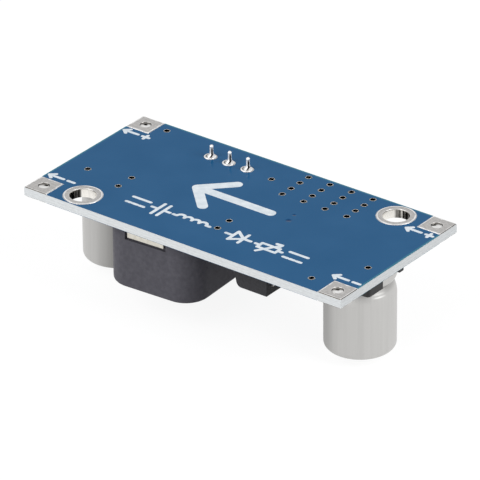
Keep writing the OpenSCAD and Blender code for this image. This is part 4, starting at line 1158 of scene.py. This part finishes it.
# %% Moulded epoxy and stamped leads
# Moulding epoxy: a dark grey that silica lightens, with a matt skin.
finish(
    "moulded_epoxy", "#202023", "#2d2d31", size=0.3, grain=0.08, height=0.008,
    detail=5.0, grain_detail=3.0, Roughness=0.48, Specular_IOR_Level=0.25)
rounded("diode_body", "moulded_diode", 0.14, "moulded_epoxy")
rounded("diode_leads", "formed_diode_leads", 0.03, "hot_air_levelled_tin")
rounded("regulator_body", "moulded_regulator", 0.12, "moulded_epoxy")
rounded("regulator_tab", "stamped_tab", 0.06, "hot_air_levelled_tin")
rounded("regulator_leads", "formed_regulator_leads", 0.05, "hot_air_levelled_tin")

# %% [markdown]
# ## The trimmer
# The housing is glossy blue polyester, the plate that holds its pins is cream resin, and the screw is
# turned brass. The screw is a body of its own, because it turns.

# %% Trimmer plastics and brass
# Polyester (PBT), moulded in a polished mould: an even blue with a soft gloss.
finish("moulded_blue_polyester", "#2a5aa8", "#3163b4", size=2.0, grain=0.3, height=0.004, Roughness=0.3)
rounded("trimmer_housing", "moulded_trimmer_housing", 0.08, "moulded_blue_polyester")
# Potting resin, poured and cured around the pins: cream, matt and slightly uneven.
finish("potting_resin", "#cfc9ba", "#dfdacd", size=0.5, grain=0.3, height=0.02, Roughness=0.5)
finish_nodes("potting_resin", "trimmer_plate")
# Brass, turned from rod: yellow and fairly bright, with fine rings that the tool left around it.
tree, shader, skin = finish("turned_brass", "#b8923f", "#d1ab57", size=0.3, Metallic=1.0, Roughness=0.28)
bump(tree, shader, size=0.05, height=0.004, stretch=(0.2, 0.2, 1))
rounded(
    "adjusting_screw", "turned_adjusting_screw", 0.04, "turned_brass", body="adjusting_screw")
# Silicone rubber, moulded: a dull red-brown that hardly shines.
finish("silicone_rubber", "#6b3325", "#80402f", size=0.2, grain=0.1, height=0.005, Roughness=0.6)
finish_nodes("silicone_rubber", "screw_seal")

# %% [markdown]
# ## The chip parts and the solder under them
# The fixed resistor has a black glazed body and the small capacitor a tan ceramic one. Both have metal
# ends, and solder fillets hold them and every lead.

# %% Chip ceramics and solder fillets
# Alumina with a fired glass glaze: black, smooth and glossy. The other is bare fired ceramic, tan and matt.
finish("glazed_alumina", "#18181a", "#242427", size=0.3, grain=0.2, height=0.004, Roughness=0.25)
finish("fired_dielectric_ceramic", "#99784c", "#b08e5f", size=0.2, grain=0.08, height=0.004, Roughness=0.45)
# Tin solder, melted once in the oven: bright and smooth, with a faint frost from its crystals.
tree, shader, skin = finish(
    "reflowed_tin_solder", "#cfcdca", "#efeeec", size=0.5, grain=0.6, height=0.01,
    Metallic=1.0, Roughness=0.2)
vary_roughness(tree, shader, 0.16, 0.28, size=0.4)
for node, name, material, slot in (
        ("chip_resistor", "glazed_chip_resistor", "glazed_alumina", "resistor_body"),
        ("chip_capacitor", "fired_chip_capacitor", "fired_dielectric_ceramic", "capacitor_body"),
        ("chip_resistor_ends", "plated_resistor_ends", "hot_air_levelled_tin", "tinned_copper"),
        ("chip_capacitor_ends", "plated_capacitor_ends", "hot_air_levelled_tin", "tinned_copper"),
        ("surface_solder", "lead_fillets", "reflowed_tin_solder", "solder")):
    rounded(node, name, 0.03, material)

# %% [markdown]
# ## Floor, light and background
# The floor is plain and pale. To the camera, and to metal that mirrors it, the floor and the world are
# white, while the light that falls on the object stays at a plain level, at which a colour renders as it
# is written. What the camera sees of the floor is mostly its own white, and a small diffuse part keeps
# the object's soft shadow. To the light that bounces, the floor is an ordinary pale surface.

# %% The floor
FLOOR = 3.0
FLOOR_ALBEDO = 0.4
FLOOR_SEEN = 0.16
FLOOR_LIFT = 0.89


def seen_share(tree):
    """A share that is 1 for the camera's own rays and for those that a mirror or glass sends on."""
    path = add(tree, "ShaderNodeLightPath")
    share = path.outputs["Is Camera Ray"]
    for kind in ("Is Glossy Ray", "Is Transmission Ray"):
        share = add(tree, "ShaderNodeMath", {"operation": "MAXIMUM"}, i0=share, i1=path.outputs[kind])
    return share


floor_mesh = bpy.data.meshes.new("floor")
floor_mesh.from_pydata(
    [(-FLOOR, -FLOOR, 0), (FLOOR, -FLOOR, 0), (FLOOR, FLOOR, 0), (-FLOOR, FLOOR, 0)], [], [(0, 1, 2, 3)])
floor = new_object("floor", floor_mesh)
floor_paint = bpy.data.materials.new("pale_floor")
floor_paint.use_nodes = True
tree = floor_paint.node_tree
tree.nodes.clear()
seen = seen_share(tree)
paint = add(
    tree, "ShaderNodeMix", {"data_type": "RGBA"},
    i0=seen, i6=(FLOOR_ALBEDO,) * 3 + (1,), i7=(FLOOR_SEEN,) * 3 + (1,))
matt = add(tree, "ShaderNodeBsdfDiffuse", Color=paint.outputs[2])
lift = add(tree, "ShaderNodeMath", {"operation": "MULTIPLY"}, i0=seen, i1=FLOOR_LIFT)
glow = add(tree, "ShaderNodeEmission", Strength=lift)
both = add(tree, "ShaderNodeAddShader", i0=matt, i1=glow)
add(tree, "ShaderNodeOutputMaterial", Surface=both)
floor_mesh.materials.append(floor_paint)
print("floor albedo", FLOOR_ALBEDO, "and for the camera", FLOOR_SEEN, "plus", FLOOR_LIFT)

# %% The world
AMBIENT = 0.45
world = bpy.data.worlds.new("studio")
bpy.context.scene.world = world
world.use_nodes = True
tree = world.node_tree
tree.nodes.clear()
level = add(tree, "ShaderNodeMapRange", Value=seen_share(tree), To_Min=AMBIENT, To_Max=1.0)
sky = add(tree, "ShaderNodeBackground", Strength=level)
add(tree, "ShaderNodeOutputWorld", Surface=sky)
print("ambient light", AMBIENT)

# %% The lamps
LAMP_REACH = 0.75
LAMP_AIM = Vector((0, 0, 0.008))


def direction(azimuth, elevation):
    """Which way a place around the object lies, from angles in degrees."""
    az, el = math.radians(azimuth), math.radians(elevation)
    return Vector((math.sin(az) * math.cos(el), -math.cos(az) * math.cos(el), math.sin(el)))


def softbox(name, azimuth, elevation, size, level):
    """A square area lamp in a direction, in degrees, that adds a level of light to a face turned to it."""
    away = direction(azimuth, elevation)
    lamp = bpy.data.lights.new(name, "AREA")
    lamp.shape = "SQUARE"
    lamp.size = size
    lamp.energy = level * math.pi ** 2 * LAMP_REACH ** 2
    holder = new_object(name, lamp)
    holder.location = LAMP_AIM + away * LAMP_REACH
    holder.rotation_euler = away.to_track_quat("Z", "Y").to_euler()
    print(name, "at", [round(v, 3) for v in holder.location])


softbox("front_softbox", azimuth=-20, elevation=30, size=0.8, level=0.91)
softbox("right_softbox", azimuth=100, elevation=36, size=0.5, level=0.6)

# %% [markdown]
# ## The camera
# The camera was solved from the board's four corners and the uprights of the photograph. It is a long
# lens from 0.6 metres away, 28 degrees above the board, with hardly any roll.

# %% The camera
CAMERA_AZIMUTH = 37.507
CAMERA_ELEVATION = 28.419
CAMERA_ROLL = math.radians(0.516)
CAMERA_DISTANCE = 0.61568
CAMERA_AIM = Vector((0.004916, -0.006282, mask_top))
camera_data = bpy.data.cameras.new("photo_camera")
camera_data.lens = 427.83
camera_data.sensor_width = 36
camera = new_object("photo_camera", camera_data)
away = direction(CAMERA_AZIMUTH, CAMERA_ELEVATION)
level_right = Vector((0, 0, 1)).cross(away).normalized()
level_up = away.cross(level_right)
up = math.cos(CAMERA_ROLL) * level_up + math.sin(CAMERA_ROLL) * level_right
right = math.cos(CAMERA_ROLL) * level_right - math.sin(CAMERA_ROLL) * level_up
turn = Matrix((right, up, away)).transposed()
camera.matrix_world = Matrix.Translation(CAMERA_AIM + away * CAMERA_DISTANCE) @ turn.to_4x4()
bpy.context.scene.camera = camera
bpy.context.scene.view_settings.view_transform = "Standard"
print("camera at", [round(v, 4) for v in camera.location])
